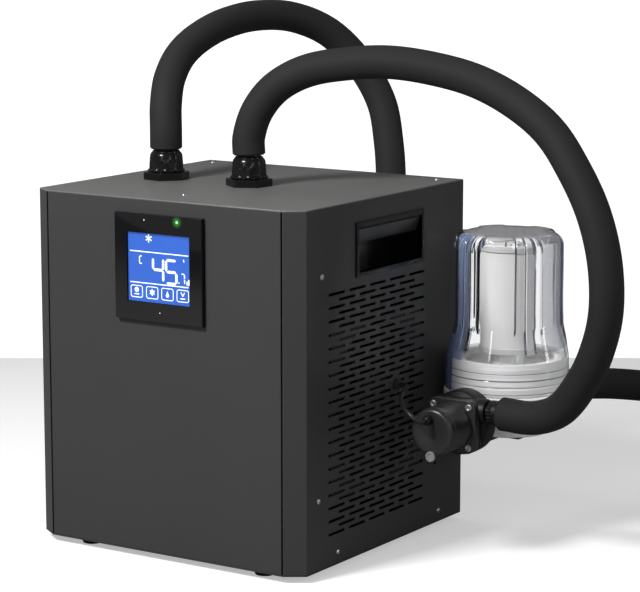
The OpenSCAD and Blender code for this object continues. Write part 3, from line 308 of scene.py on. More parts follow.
def round_corners(low, high, radius, steps):
    """Points round a rectangle with rounded corners, and the way out at each of them.

    At each corner the point is the arc's centre + radius (cos t, sin t), for t over a quarter.
    """
    low, high = np.asarray(low, float), np.asarray(high, float)
    quarter = np.radians(np.linspace(0, 90, steps))
    outline, ways = [], []
    for sx, sy, start in ((1, 1, 0), (-1, 1, 90), (-1, -1, 180), (1, -1, 270)):
        t = quarter + math.radians(start)
        way = np.stack([np.cos(t), np.sin(t)], axis=-1)
        centre = (low + high) / 2 + np.array([sx, sy]) * ((high - low) / 2 - radius)
        outline.append(centre + radius * way)
        ways.append(way)
    return np.vstack(outline), np.vstack(ways)


def rounded_slab(name, low, high, radius, edge, finish, node):
    """A box with rounded corners, seen from the front, and rounded front and back edges.

    Each ring is the corner-rounded outline drawn in by edge (1 - cos t) while it moves
    edge sin t along the depth.
    """
    outline, ways = round_corners((low[0], low[2]), (high[0], high[2]), radius, 9)
    turns = np.radians(np.linspace(0, 90, 5))
    rings = [(t, low[1] + edge * (1 - math.sin(t))) for t in turns[::-1]]
    rings += [(t, high[1] - edge * (1 - math.sin(t))) for t in turns]
    points = []
    for t, depth in rings:
        across, up = (outline - ways * edge * (1 - math.cos(t))).T
        points.append(np.column_stack([across, np.full(len(across), depth), up]))
    faces = loft_faces(len(rings), len(outline))
    own(weld(new_piece(name, place(np.vstack(points)), faces, finish), sharp=50), node)


def smooth_route(points, steps=8):
    """A smooth line through the points: each span is a cubic whose end slopes are the
    chords of the neighbouring points, scaled to the span's length."""
    p = np.asarray(points, float)
    chord = np.linalg.norm(np.diff(p, axis=0), axis=1)
    slope = np.empty_like(p)
    slope[1:-1] = (p[2:] - p[:-2]) / (chord[1:] + chord[:-1])[:, None]
    slope[0] = (p[1] - p[0]) / chord[0]
    slope[-1] = (p[-1] - p[-2]) / chord[-1]
    t = (np.arange(steps) / steps)[None, :, None]
    d = chord[:, None, None]
    line = ((2 * t**3 - 3 * t**2 + 1) * p[:-1, None] + (t**3 - 2 * t**2 + t) * d * slope[:-1, None]
            + (3 * t**2 - 2 * t**3) * p[1:, None] + (t**3 - t**2) * d * slope[1:, None])
    return np.vstack([line.reshape(-1, 3), p[-1:]])


def ring_frames(line, first_way):
    """Two directions square to a line at each of its points, carried along without twist."""
    heading = np.gradient(line, axis=0)
    heading /= np.linalg.norm(heading, axis=1)[:, None]
    ways = np.empty_like(line)
    way = np.asarray(first_way, float)
    for i, t in enumerate(heading):
        way = way - np.dot(way, t) * t
        way = way / np.linalg.norm(way)
        ways[i] = way
    return ways, np.cross(heading, ways)


def hose_points(line, radii, sides, first_way):
    """Rings square to a line: point (i, k) is line_i + radius_i (cos a_k way + sin a_k side)."""
    ways, sides_way = ring_frames(line, first_way)
    angle = np.arange(sides) * 2 * math.pi / sides
    c = np.cos(angle)[None, :, None] * ways[:, None, :]
    s = np.sin(angle)[None, :, None] * sides_way[:, None, :]
    return (line[:, None, :] + radii[:, None, None] * (c + s)).reshape(-1, 3)


def flat_sided(sides, turn, corner):
    """How far a many-sided outline's edge stands from its corner circle, as a factor.

    In a direction a the factor is cos(half) / cos(a - nearest side's middle), and it is held
    below 1 - corner so that the corners are rounded.
    """
    half = math.pi / sides

    def factor(angle):
        """The factor in the directions angle."""
        off = np.mod(angle - turn, 2 * half) - half
        return np.minimum(math.cos(half) / np.cos(off), 1 - corner)

    return factor


# Shader trees

def feed(tree, node, inputs):
    """Gives a node's inputs, by name or number, a value, a socket or another node's result."""
    for key, value in inputs.items():
        if isinstance(value, bpy.types.Node):
            value = next(output for output in value.outputs if output.enabled)
        if isinstance(value, bpy.types.NodeSocket):
            tree.links.new(value, node.inputs[key])
        else:
            node.inputs[key].default_value = value


def add_node(tree, kind, inputs=None, **settings):
    """A new node of a kind, with its settings and its inputs."""
    node = tree.nodes.new("ShaderNode" + kind)
    for name, value in settings.items():
        setattr(node, name, value)
    feed(tree, node, inputs or {})
    return node


def reckon(tree, operation, *values, clamp=False):
    """A sum, a product or another sum of arithmetic on values and sockets."""
    return add_node(tree, "Math", dict(enumerate(values)), operation=operation, use_clamp=clamp)


def stretch(tree, value, low, high, start=0.0, end=1.0):
    """A value that goes from low to high while its source goes from start to end."""
    return add_node(tree, "MapRange", {"Value": value, "From Min": start, "From Max": end,
                                       "To Min": low, "To Max": high})


def mixed(tree, factor, first, second):
    """A colour between two others."""
    return add_node(tree, "Mix", {"Factor": factor, "A": (*first, 1), "B": (*second, 1)},
                    data_type="RGBA")


def object_point(tree):
    """The place on the object."""
    return add_node(tree, "TexCoord").outputs["Object"]


def noise(tree, scale, detail=3.0, roughness=0.55):
    """A noise texture that is fixed to the object."""
    return add_node(tree, "TexNoise", {"Vector": object_point(tree), "Scale": scale,
                                       "Detail": detail, "Roughness": roughness})


def seen_by(tree, *rays):
    """1 where the ray is one of the named kinds, such as a camera ray."""
    path = add_node(tree, "LightPath")
    seen = path.outputs[rays[0]]
    for ray in rays[1:]:
        seen = reckon(tree, "MAXIMUM", seen, path.outputs[ray])
    return seen


def new_group(name, inputs, outputs):
    """An empty shader group; each input is (name, kind, default) and each output (name, kind)."""
    group = bpy.data.node_groups.new(name, "ShaderNodeTree")
    for label, kind, value in inputs:
        socket = group.interface.new_socket(label, in_out="INPUT", socket_type="NodeSocket" + kind)
        socket.default_value = value
    for label, kind in outputs:
        group.interface.new_socket(label, in_out="OUTPUT", socket_type="NodeSocket" + kind)
    return group, group.nodes.new("NodeGroupInput").outputs, group.nodes.new("NodeGroupOutput")


def build_fine_grain():
    """The small bumps of a coat or a moulded skin, and the roughness that goes with them."""
    group, given, end = new_group(
        "fine_grain", [("Scale", "Float", 800.0), ("Low", "Float", 0.4), ("High", "Float", 0.6)],
        [("Height", "Float"), ("Roughness", "Float")])
    fine = noise(group, given["Scale"])
    mix = add_node(group, "Mix", {"Factor": 0.35, "A": fine, "B": noise(group, 14.0, 4.0)})
    rough = stretch(group, mix, given["Low"], given["High"], 0.3, 0.7)
    feed(group, end, {"Height": fine, "Roughness": rough})


def build_tone_drift():
    """Two near tones that drift over the surface, with a little dust where it faces up."""
    group, given, end = new_group(
        "tone_drift", [("Tone", "Color", (0.5, 0.5, 0.5, 1)), ("Depth", "Float", 0.12),
                       ("Scale", "Float", 6.0), ("Dust", "Float", 0.0)], [("Color", "Color")])
    drift = reckon(group, "SUBTRACT", noise(group, given["Scale"], 4.0), 0.5)
    swing = reckon(group, "MULTIPLY_ADD", drift, given["Depth"], 1.0)
    tint = add_node(group, "VectorMath", {0: given["Tone"], "Scale": swing}, operation="SCALE")
    facing = add_node(group, "NewGeometry").outputs["Normal"]
    upward = add_node(group, "SeparateXYZ", {0: facing}).outputs["Z"]
    speck = stretch(group, noise(group, 260.0, 6.0, 0.7), 0.0, 1.0, 0.45, 0.8)
    settled = reckon(group, "MULTIPLY", upward, speck, clamp=True)
    amount = reckon(group, "MULTIPLY", settled, given["Dust"])
    dusted = add_node(group, "Mix", {"Factor": amount, "A": tint, "B": (0.45, 0.44, 0.42, 1)},
                      data_type="RGBA")
    feed(group, end, {"Color": dusted})


# Materials

def start_material(name):
    """A fresh material's tree and Principled shader, in place of the CAD file's plain one."""
    plain = bpy.data.materials.get(name)
    if plain:
        plain.name = "plain_" + name
    material = bpy.data.materials.new(name)
    material.use_nodes = True
    return material.node_tree, material.node_tree.nodes["Principled BSDF"]


def add_grain(tree, shader, scale, height, low, high, strength, edge=0.0):
    """Bumps and roughness from the fine grain group.

    edge is the radius by which edges are softened in the light alone, as a fold or a
    moulded corner does.
    """
    grain = add_node(tree, "Group", {"Scale": scale, "Low": low, "High": high},
                     node_tree=bpy.data.node_groups["fine_grain"])
    bump = add_node(tree, "Bump", {"Strength": strength, "Distance": height,
                                   "Height": grain.outputs["Height"]})
    if edge:
        feed(tree, bump, {"Normal": add_node(tree, "Bevel", {"Radius": edge}, samples=4)})
    feed(tree, shader, {"Normal": bump, "Roughness": grain.outputs["Roughness"]})


def add_tone(tree, shader, colour, depth, scale=6.0, dust=0.0):
    """A drifting colour from the tone drift group."""
    tone = add_node(tree, "Group", {"Tone": (*colour, 1), "Depth": depth, "Scale": scale,
                                    "Dust": dust}, node_tree=bpy.data.node_groups["tone_drift"])
    feed(tree, shader, {"Base Color": tone.outputs["Color"]})


def surface(name, colour, low, high, grain=900.0, height=0.00005, depth=0.12, metallic=0.0,
            specular=0.5, dust=0.0, strength=0.5, tone_scale=6.0, edge=0.0):
    """A solid finish: drifting tone, fine bumps and the roughness between low and high."""
    tree, shader = start_material(name)
    feed(tree, shader, {"Metallic": metallic, "Specular IOR Level": specular})
    add_tone(tree, shader, colour, depth, tone_scale, dust)
    add_grain(tree, shader, grain, height, low, high, strength, edge)


def make_solid_finishes(tones):
    """Every solid finish that the chiller's pieces share, by the name of its slot."""
    coat = {"grain": 620.0, "height": 0.00012, "depth": 0.14, "strength": 0.35, "edge": 0.002}
    surface("powder_coat", tones.cabinet, 0.36, 0.48, specular=0.25, dust=0.01, **coat)
    # Painted light: the top's coat is a lighter copy of the cabinet's coat, for the sky that the
    # top mirrors.
    surface("powder_coat_top", tones.cover, 0.34, 0.48, dust=0.02, **coat)
    surface("bezel_gloss", (0.004, 0.004, 0.005), 0.05, 0.1, 300.0, 0.00002, 0.05, specular=0.3,
            strength=0.1, edge=0.0008)
    surface("black_plastic", tones.plastic, 0.36, 0.52, 1100.0, 0.00008, 0.2, specular=0.25,
            dust=0.008, edge=0.0008)
    surface("port_plastic", tones.plastic, 0.14, 0.22, 700.0, 0.00005, 0.2, specular=0.3,
            dust=0.006, strength=0.3)
    surface("white_plastic", tones.head, 0.28, 0.42, 500.0, 0.00004, 0.05, dust=0.02, strength=0.3)
    surface("foam", tones.foam, 0.62, 0.8, 1500.0, 0.00025, 0.3, specular=0.15, dust=0.006,
            strength=0.6, tone_scale=14.0)
    surface("grey_plastic", (0.23, 0.23, 0.24), 0.35, 0.5, depth=0.1)
    surface("cap_plastic", (0.66, 0.66, 0.67), 0.35, 0.5, depth=0.1)
    surface("rubber", (0.014, 0.014, 0.014), 0.6, 0.8, height=0.0001, depth=0.2)
    surface("cable", (0.012, 0.012, 0.012), 0.35, 0.5, depth=0.15)
    surface("steel", (0.62, 0.62, 0.63), 0.22, 0.4, height=0.00003, metallic=1.0)
    surface("painted_steel", (0.012, 0.012, 0.012), 0.3, 0.45, 700.0, 0.00008, 0.15, dust=0.04)
    surface("motor_paint", (0.02, 0.02, 0.021), 0.26, 0.4, 900.0, 0.00006, 0.2, dust=0.03)
    surface("aluminium", (0.6, 0.61, 0.62), 0.3, 0.45, 700.0, 0.00004, 0.1, metallic=1.0)
    surface("copper", (0.72, 0.35, 0.2), 0.22, 0.38, 300.0, 0.00003, 0.2, metallic=1.0)
    surface("board_green", (0.01, 0.12, 0.05), 0.2, 0.35, 500.0, 0.00005, 0.15)


def make_paper():
    """White blown fibre with a soft matt skin."""
    tree, shader = start_material("filter_paper")
    add_tone(tree, shader, (0.86, 0.86, 0.855), 0.05, 30.0)
    add_grain(tree, shader, 1600.0, 0.0002, 0.75, 0.9, 0.4)


def make_clear(name, tint, rim_tint, clear=1.0):
    """Clear moulded plastic: glass with a faint ripple, darker and bluer where it is seen
    edge on, as thick plastic is. It lets light fall through it and casts a faint shadow.
    What isn't clear in it scatters the light as a veil of its tint; the bowl's zones use this veil
    for painted light and painted shade."""
    tree, shader = start_material(name)
    ripple = add_node(tree, "Bump", {"Strength": 0.4, "Distance": 0.0001,
                                     "Height": noise(tree, 30.0, 2.0)})
    facing = add_node(tree, "LayerWeight", {"Blend": 0.5}).outputs["Facing"]
    thick = stretch(tree, facing, 0.0, 1.0, 0.3, 0.95)
    let_through = seen_by(tree, "Is Shadow Ray", "Is Diffuse Ray")
    feed(tree, shader, {
        "Base Color": mixed(tree, thick, tint, rim_tint),
        "Transmission Weight": clear, "IOR": 1.46, "Normal": ripple,
        "Roughness": stretch(tree, noise(tree, 90.0), 0.0, 0.03),
        "Alpha": stretch(tree, let_through, 1.0, 0.03)})


def make_bowl_finishes(tones):
    """The bowl's clear plastic, and zones of it with painted shade, a painted reflection of the
    cabinet and painted light on the collar.
    """
    make_clear("clear_plastic", tones.bowl, tones.bowl_rim)
    # Painted shade in the grooves beside the flutes and in the collar's rings.
    make_clear("clear_groove", tones.bowl_groove_painted_shade, tones.bowl_rim)
    # Painted light: a white veil that brightens the collar.
    make_clear("clear_collar", tones.bowl, (0.75, 0.77, 0.8), 0.55)
    # Painted shade on the bowl's side away from the cabinet.
    make_clear("clear_shade", tones.bowl_painted_shade, tones.bowl_rim, 0.85)
    # Painted reflection of the dark cabinet on the bowl's side towards it, bluer at the rim.
    make_clear("clear_side", tones.bowl_painted_reflection, (0.2, 0.28, 0.5), 0.7)
    # Painted shade on the bowl's flat top.
    make_clear("clear_top", tones.bowl_top_painted_shade, tones.bowl_top_painted_shade, 0.65)


def make_glow(name, colour, strength, edge):
    """A lit surface whose light varies a little, down to the share edge, in broad patches."""
    tree, shader = start_material(name)
    patch = mixed(tree, noise(tree, 18.0, 2.0), [c * edge for c in colour], colour)
    feed(tree, shader, {"Emission Color": patch, "Base Color": patch,
                        "Emission Strength": strength, "Roughness": 0.3})


def make_halo(name, centre, radius, colour):
    """The glow round a small lamp behind glass, which fades to nothing at its radius."""
    tree, shader = start_material(name)
    away = add_node(tree, "VectorMath", {0: object_point(tree), 1: centre}, operation="DISTANCE")
    fade = reckon(tree, "POWER", stretch(tree, away, 1.0, 0.0, 0.0, radius), 1.6)
    feed(tree, shader, {"Alpha": fade, "Base Color": (0, 0, 0, 1), "Specular IOR Level": 0.0,
                        "Emission Color": (*colour, 1), "Emission Strength": 1.0})


def make_tinted_glass():
    """The display's cover: clear over the screen and black ink behind it elsewhere."""
    tree, shader = start_material("bezel_glass")
    spot = add_node(tree, "SeparateXYZ", {0: object_point(tree)})
    low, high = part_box("display_screen")
    inside = 1.0
    for axis, corner, test in (("X", low.x, "GREATER_THAN"), ("X", high.x, "LESS_THAN"),
                               ("Z", low.z, "GREATER_THAN"), ("Z", high.z, "LESS_THAN")):
        inside = reckon(tree, "MULTIPLY", inside, reckon(tree, test, spot.outputs[axis], corner))
    feed(tree, shader, {"Base Color": (0.004, 0.004, 0.005, 1), "Roughness": 0.05,
                        "Specular IOR Level": 0.6, "Alpha": stretch(tree, inside, 1.0, 0.06)})


class CHILLER_OT_finishes(bpy.types.Operator):
    """Make the shared finishes and give them to the CAD nodes."""

    bl_idname = "chiller.finishes"
    bl_label = "Finishes"

    def execute(self, context):
        """Makes the groups first, since every finish uses them."""
        tones = context.scene.chiller_finish
        build_fine_grain()
        build_tone_drift()
        make_solid_finishes(tones)
        make_paper()
        make_bowl_finishes(tones)
        make_glow("screen_blue", tones.screen, 0.9, 0.85)
        make_glow("lamp_green", (0.15, 1.0, 0.3), 2.0, 0.8)
        make_glow("screen_white", (0.86, 0.93, 1.0), 1.0, 0.95)
        make_tinted_glass()
        for part in frame["record"]["subparts"]:
            node, slot = part["node"], part["material_slot"]
            if node in ("handle_right", "handle_left"):
                slot = "port_plastic"
            if slot in bpy.data.materials and node in NODES:
                NODES[node].data.materials.clear()
                NODES[node].data.materials.append(bpy.data.materials[slot])
        return {"FINISHED"}


# The stage

def make_camera(scene, eye, settings):
    """The camera, which stands at eye and is turned and dipped but not rolled."""
    data = bpy.data.cameras.new("camera")
    data.lens = settings.lens
    data.sensor_width = 36.0
    data.clip_end = 30.0
    camera = bpy.data.objects.new("camera", data)
    camera.location = eye
    camera.rotation_euler = (math.pi / 2 - settings.dip, 0, settings.heading)
    scene.collection.objects.link(camera)
    scene.camera = camera


def make_room(scene, sky):
    """White to the camera, and softer as light on the object and through clear plastic."""
    scene.world = bpy.data.worlds.new("room")
    scene.world.use_nodes = True
    tree = scene.world.node_tree
    level = stretch(tree, seen_by(tree, "Is Camera Ray"), sky, 1.0)
    feed(tree, tree.nodes["Background"], {"Color": (1.0, 1.0, 1.0, 1), "Strength": level})


def stage_plane(name, corners, grey, near_glow, far_glow, near, far, mirrored=0.4):
    """A flat stage piece with a light of its own for the camera, which changes with depth.

    The light goes from near_glow to far_glow between two points of the floor. The piece is
    darker by the factor mirrored in the light that the object gets from it, and it isn't
    seen from behind.
    """
    piece = new_piece(name, corners, [[0, 1, 2, 3]], smooth=False)
    tree, shader = start_material(name)
    on_object = seen_by(tree, "Is Glossy Ray", "Is Diffuse Ray")
    span = far - near
    ahead = add_node(tree, "VectorMath", {0: object_point(tree), 1: near}, operation="SUBTRACT")
    depth = add_node(tree, "VectorMath", {0: ahead, 1: span / np.dot(span, span)},
                     operation="DOT_PRODUCT")
    clear_rays = seen_by(tree, "Is Camera Ray", "Is Transmission Ray")
    glow = reckon(tree, "MULTIPLY", stretch(tree, depth, near_glow, far_glow), clear_rays)
    behind = add_node(tree, "NewGeometry").outputs["Backfacing"]
    feed(tree, shader, {
        "Base Color": mixed(tree, on_object, grey, [tone * mirrored for tone in grey]),
        "Roughness": 0.75, "Specular IOR Level": 0.2, "Emission Color": (1, 1, 1, 1),
        "Emission Strength": glow, "Alpha": reckon(tree, "SUBTRACT", 1.0, behind)})
    piece.data.materials.append(bpy.data.materials[name])


def make_floor_and_wall(eye, settings):
    """A floor that reaches from behind the camera to the wall, and the wall upon its far edge."""
    behind, fade, half_width, wall_glow = 2.0, 1.6, 5.0, 0.9
    ahead = np.array([-math.sin(settings.heading), math.cos(settings.heading), 0.0])
    across = np.array([ahead[1], -ahead[0], 0.0])
    foot = np.array([eye[0], eye[1], 0.0])
    far = foot + ahead * settings.wall_distance
    near = foot - ahead * behind
    half = across * half_width
    stage_plane("floor", [near - half, near + half, far + half, far - half], (0.8, 0.8, 0.797),
                settings.floor_near, settings.floor_far, far - ahead * fade, far)
    side, height = across * settings.wall_half, np.array([0, 0, settings.wall_height])
    stage_plane("wall", [far - side, far + side, far + side + height, far - side + height],
                (0.35, 0.35, 0.35), wall_glow, wall_glow, near, far)


def area_lamp(scene, name, towards, heading, height, distance, size, power):
    """A soft lamp, size (width, height), that faces a point from a direction and distance."""
    data = bpy.data.lights.new(name, "AREA")
    data.shape = "RECTANGLE"
    data.size, data.size_y = size
    data.energy = power
    lamp = bpy.data.objects.new(name, data)
    away = np.array([math.cos(heading) * math.cos(height), math.sin(heading) * math.cos(height),
                     math.sin(height)])
    lamp.location = np.asarray(towards) + away * distance
    lamp.rotation_euler = (math.pi / 2 - height, 0, heading + math.pi / 2)
    scene.collection.objects.link(lamp)


def make_lamps(scene, settings):
    """A key lamp, a fill lamp, a tall rim lamp and two narrow strips for the nuts."""
    cabinet, hose = (0.0, 0.0, 0.25), (0.3, 0.1, 0.35)
    turn = math.radians
    for name, towards, heading, height, distance, size, power in (
            ("key", cabinet, settings.key_heading, settings.key_height, 2.0, (0.4, 0.4),
             settings.key_power),
            ("fill", cabinet, turn(150), turn(62), 2.6, (1.4, 1.4), settings.fill_power),
            ("rim", hose, settings.rim_heading, turn(12), 1.9, (0.16, 1.3), settings.rim_power),
            ("strip_left", cabinet, turn(-92), turn(18), 2.5, (0.09, 1.1), settings.strip_power),
            ("strip_right", cabinet, turn(-28), turn(18), 2.5, (0.09, 1.1), settings.strip_power)):
        area_lamp(scene, name, towards, heading, height, distance, size, power)


class CHILLER_OT_stage(bpy.types.Operator):
    """Make the floor, the wall, the room's light, the lamps and the camera."""

    bl_idname = "chiller.stage"
    bl_label = "Stage"

    def execute(self, context):
        """Makes the camera first, since the wall stands square to its view."""
        scene, settings = context.scene, context.scene.chiller_stage
        scene.view_settings.view_transform = "Standard"
        eye = np.array(settings.eye) + CORNER
        make_camera(scene, eye, settings)
        make_room(scene, settings.sky)
        make_floor_and_wall(eye, settings)
        make_lamps(scene, settings)
        return {"FINISHED"}


# The hoses and the cable

def make_hose(name, node, route_mm, radius, sides, first_way, finish):
    """A hose swept along its smooth route, closed by flat ends with rounded edges.

    The line is held a hair over its radius above the floor. The radius is smaller by the lip
    at both ends.
    """
    line = smooth_route(place(route_mm))
    line[:, 2] = np.maximum(line[:, 2], radius + FLOOR_GAP)
    lip = min(radius * 0.08, 0.0016)
    first, last = line[1] - line[0], line[-1] - line[-2]
    along = np.vstack([line[:1], line[:1] + first / np.linalg.norm(first) * lip, line[1:-1],
                       line[-1:] - last / np.linalg.norm(last) * lip, line[-1:]])
    radii = np.full(len(along), radius)
    radii[0] = radii[-1] = radius - lip
    points = hose_points(along, radii, sides, first_way)
    piece = new_piece(name, points, loft_faces(len(along), sides), finish, sharp=50)
    own(piece, node)


class CHILLER_OT_hoses(bpy.types.Operator):
    """Make the three insulated hoses and the pump's cable."""

    bl_idname = "chiller.hoses"
    bl_label = "Hoses and cable"

    def execute(self, context):
        """Each hose and the cable is swept along its own route."""
        make_hose("return_hose", "hose_return", RETURN_ROUTE, HOSE_R, 40, (1, 0, 0), "foam")
        make_hose("supply_hose", "hose_supply", SUPPLY_ROUTE, HOSE_R, 40, (0, 1, 0), "foam")
        make_hose("suction_hose", "hose_suction", SUCTION_ROUTE, HOSE_R, 40, (0, 0, 1), "foam")
        make_hose("motor_cable", "pump_cable", CABLE_ROUTE, CABLE_R, 16, (0, 0, 1), "cable")
        return {"FINISHED"}


# The water filter

# The bowl's five groups of three flutes, in radians and millimetres
GROUP_STEP = 2 * math.pi / 5
FIRST_GROUP = math.radians(-38)
FLUTE_STEP = math.radians(10.5)
FLUTE_DEPTH = 3.0
GROUP_SINK = 0.8
# Its wall, collar, rings on the collar and body, in millimetres
BOWL_H, BOWL_WALL = 184.0, 4.0
COLLAR_R, COLLAR_H, COLLAR_TAPER = 72.6, 34.0, 0.03
RING_STEP, RING_DEPTH = 8.0, 0.8
BODY_R, BODY_Z = 61.6, 84.0
# The bowl's finishes: the clear plastic, then its zones of painted shade, painted reflection and
# painted light.
BOWL_ZONES = ("clear_plastic", "clear_groove", "clear_shade", "clear_side", "clear_top",
              "clear_collar")


def group_offset(angle):
    """Signed angle from a direction to the middle of its nearest group of flutes."""
    return np.mod(angle - FIRST_GROUP + GROUP_STEP / 2, GROUP_STEP) - GROUP_STEP / 2


def flute_height(angle):
    """Three upright flutes in each group, each a round bulge between two sharp grooves.

    Within a flute the height is sqrt(1 - u^6) for u from -1 to 1 across it.
    """
    off = group_offset(angle) / FLUTE_STEP
    across = 2 * (np.mod(off + 0.5, 1.0) - 0.5)
    bulge = np.sqrt(np.clip(1 - across ** 6, 0, 1))
    return np.where(np.abs(off) < 1.5, bulge, 0.0)


def middle_flute(angle):
    """The bulge of each group's middle flute alone, which runs on to a point on the collar."""
    off = group_offset(angle) / FLUTE_STEP
    return np.where(np.abs(off) < 0.5, np.sqrt(np.clip(1 - (2 * off) ** 6, 0, 1)), 0.0)


def group_mask(angle):
    """1 in a group of flutes and 0 in the smooth zone between two groups."""
    off = np.abs(group_offset(angle))
    return 1 / (1 + np.exp((off - 1.75 * FLUTE_STEP) / (0.12 * FLUTE_STEP)))


def bowl_shell(inset, sides):
    """Radius and height of the bowl's wall, both by row and direction, in millimetres.

    Rows climb the collar with its rings, an S-curve into the body, the body with its flutes
    and the shoulder, whose radius is 8 in the smooth zones and grows to 16 at the flutes, and
    end at the pole. The inner wall has neither rings nor flutes, and fewer rows.
    """
    angle = (np.arange(sides) * 2 * math.pi / sides)[None, :]
    zero = 0 * angle
    mask, flutes, middle = group_mask(angle), flute_height(angle), middle_flute(angle)
    top = BOWL_H - inset
    outside = 0.0 if inset else 1.0
    flute = outside * FLUTE_DEPTH
    sink = outside * GROUP_SINK * mask
    rows = [(COLLAR_R - 1.2 - inset, 0.0), (COLLAR_R - inset, 1.2)]
    for height in np.linspace(2.0, COLLAR_H, 3 if inset else 40):
        ring = abs((height / RING_STEP) % 1.0 - 0.5) * 2
        groove = outside * RING_DEPTH * max(0.0, 1 - ring * 5)
        rows.append((COLLAR_R - COLLAR_TAPER * height - groove - inset, height))
    body = BODY_R - inset
    wide = COLLAR_R - 1.0 - inset
    for t in np.linspace(0.06, 1, 8 if inset else 18):
        drop = (1 - math.cos(math.pi * t)) / 2
        tip = flute * max(0.0, min(1.0, (t - 0.25) * 3)) * middle * (1 - 0.5 * middle * (1 - t))
        beside = flute * max(0.0, min(1.0, (t - 0.72) * 5)) * (flutes - middle)
        rows.append((wide - (wide - body) * drop + tip + beside,
                     COLLAR_H + (BODY_Z - COLLAR_H) * t))
    shoulder = 8.0 + 8.0 * mask
    for t in np.linspace(0, 1, 4 if inset else 7)[1:]:
        rows.append((body - sink * min(1.0, t * 5) + flute * flutes,
                     BODY_Z + (top - shoulder - BODY_Z) * t))
    for t in np.linspace(0, math.pi / 2, 7 if inset else 13)[1:]:
        rows.append((body - sink - shoulder * (1 - math.cos(t)) + flute * math.cos(t) * flutes,
                     top - shoulder * (1 - math.sin(t))))
    edge = rows[-1][0]
    rows += [(edge * share, top) for share in (0.9, 0.6, 0.3, 0.0)]
    return [np.stack([radius + zero, height + zero], axis=-1)[0] for radius, height in rows]


def make_bowl(sides=720):
    """The outer wall and the inner wall as one closed surface, with a tint for each zone: the
    painted shade, painted reflection and painted light of mark_zones.
    """
    rings = np.array(bowl_shell(0.0, sides) + bowl_shell(BOWL_WALL, sides)[::-1])
    angle = np.arange(sides) * 2 * math.pi / sides
    points = np.stack([BOWL_X + rings[:, :, 0] * np.cos(angle)[None, :],
                       BOWL_Y + rings[:, :, 0] * np.sin(angle)[None, :],
                       BOWL_Z + rings[:, :, 1]], axis=-1).reshape(-1, 3)
    faces = grid_faces(len(rings), sides, wrap_rows=True, wrap_columns=True)
    piece = weld(new_piece("clear_bowl", place(points), faces, BOWL_ZONES[0]), sharp=70)
    for name in BOWL_ZONES[1:]:
        piece.data.materials.append(bpy.data.materials[name])
    mark_zones(piece.data)
    own(piece, "filter_bowl", body="bowl")


def mark_zones(mesh):
    """Paints shade on the groove flanks, the rings, the side away from the cabinet and the top, a
    reflection of the cabinet on the side towards it, and light on the collar.

    A face's zone follows from the direction, the reach and the height of its middle, in
    degrees and millimetres from the middle of the bowl's foot. A later zone takes faces from
    an earlier one.
    """
    spots = np.empty(len(mesh.polygons) * 3)
    mesh.polygons.foreach_get("center", spots)
    x, y, z = ((spots.reshape(-1, 3) - place((BOWL_X, BOWL_Y, BOWL_Z))) / MM).T
    angle, reach = np.degrees(np.arctan2(y, x)), np.hypot(x, y)
    off = group_offset(np.radians(angle)) / FLUTE_STEP
    outer = reach > np.where(z > BOWL_H - 18, 44.0, 58.5)
    groove = ((np.abs(np.mod(off, 1.0) - 0.5) < 0.055) & (np.abs(off) < 1.6) & outer
              & (z > np.where(np.abs(off) < 0.6, 52.0, 72.0)) & (z < BOWL_H - 1.0))
    ring = (z < 36) & (np.abs(np.mod(z / RING_STEP, 1.0) - 0.5) < 0.06) & (reach > 71)
    index = np.zeros(len(z), dtype=int)
    # Each mask picks faces for painted shade (shaded side, top, grooves, rings), the painted
    # reflection of the cabinet or painted light on the collar.
    for name, inside in (("clear_shade", (angle > -24) & (angle < 40) & (z > 50)),
                         ("clear_side", (angle > -132) & (angle < -111)),
                         ("clear_top", (z > BOWL_H - 5) & (reach < 52)),
                         ("clear_collar", (z < 40) & (reach > 66)),
                         ("clear_side", (z < 62) & (angle > -160) & (angle < -124)),
                         ("clear_groove", ring | groove)):
        index[inside] = BOWL_ZONES.index(name)
    mesh.polygons.foreach_set("material_index", index.tolist())


def make_cartridge():
    """A thick tube of blown fibre between a foot and a lid of white plastic."""
    low, high = (corner[2] for corner in box_mm("filter_cartridge"))
    foot_z, lid_top = (corner[2] for corner in box_mm("cartridge_caps"))
    media = [(13, 0), (32, 0), (32, high - low), (13, high - low)]
    turned("fibre_media", media, (BOWL_X, BOWL_Y, low), "filter_paper", "filter_cartridge",
           sides=120, closed=True, body="cartridge")
    foot = [(13, 0), (33.0, 0), (33.5, 0.6), (33.5, 6.2), (32.7, 7), (13, 7)]
    turned("cartridge_foot", foot, (BOWL_X, BOWL_Y, foot_z), "cap_plastic", "cartridge_caps",
           closed=True, slot="grey_plastic", body="cartridge")
    lid = [(0, 0), (33.0, 0), (33.5, 0.6), (33.5, 5.8), (32.3, 7), (27, 7), (26, 5), (14, 5),
           (13, 7), (0, 7)]
    turned("cartridge_lid", lid, (BOWL_X, BOWL_Y, lid_top - 7), "cap_plastic", "cartridge_caps",
           slot="grey_plastic", body="cartridge")


NOTCHES, NOTCH_DEPTH, NOTCH_FOOT, NOTCH_TOP = 36, 1.2, 36, 47
THREAD_PITCH, THREAD_HEIGHT, THREAD_END = 6.0, 1.8, 35
THREAD_ROWS = np.arange(0, 37.01, 0.75)


def grip_notches(height, angle):
    """Notches round the head's rim, where the clipped wave of the direction is above 0."""
    notch = np.clip(np.cos(NOTCHES * angle) * 3 - 1.6, 0, 1)
    on_rim = (height > NOTCH_FOOT * MM) & (height < NOTCH_TOP * MM)
    return np.where(on_rim, -NOTCH_DEPTH * MM * notch, 0.0)


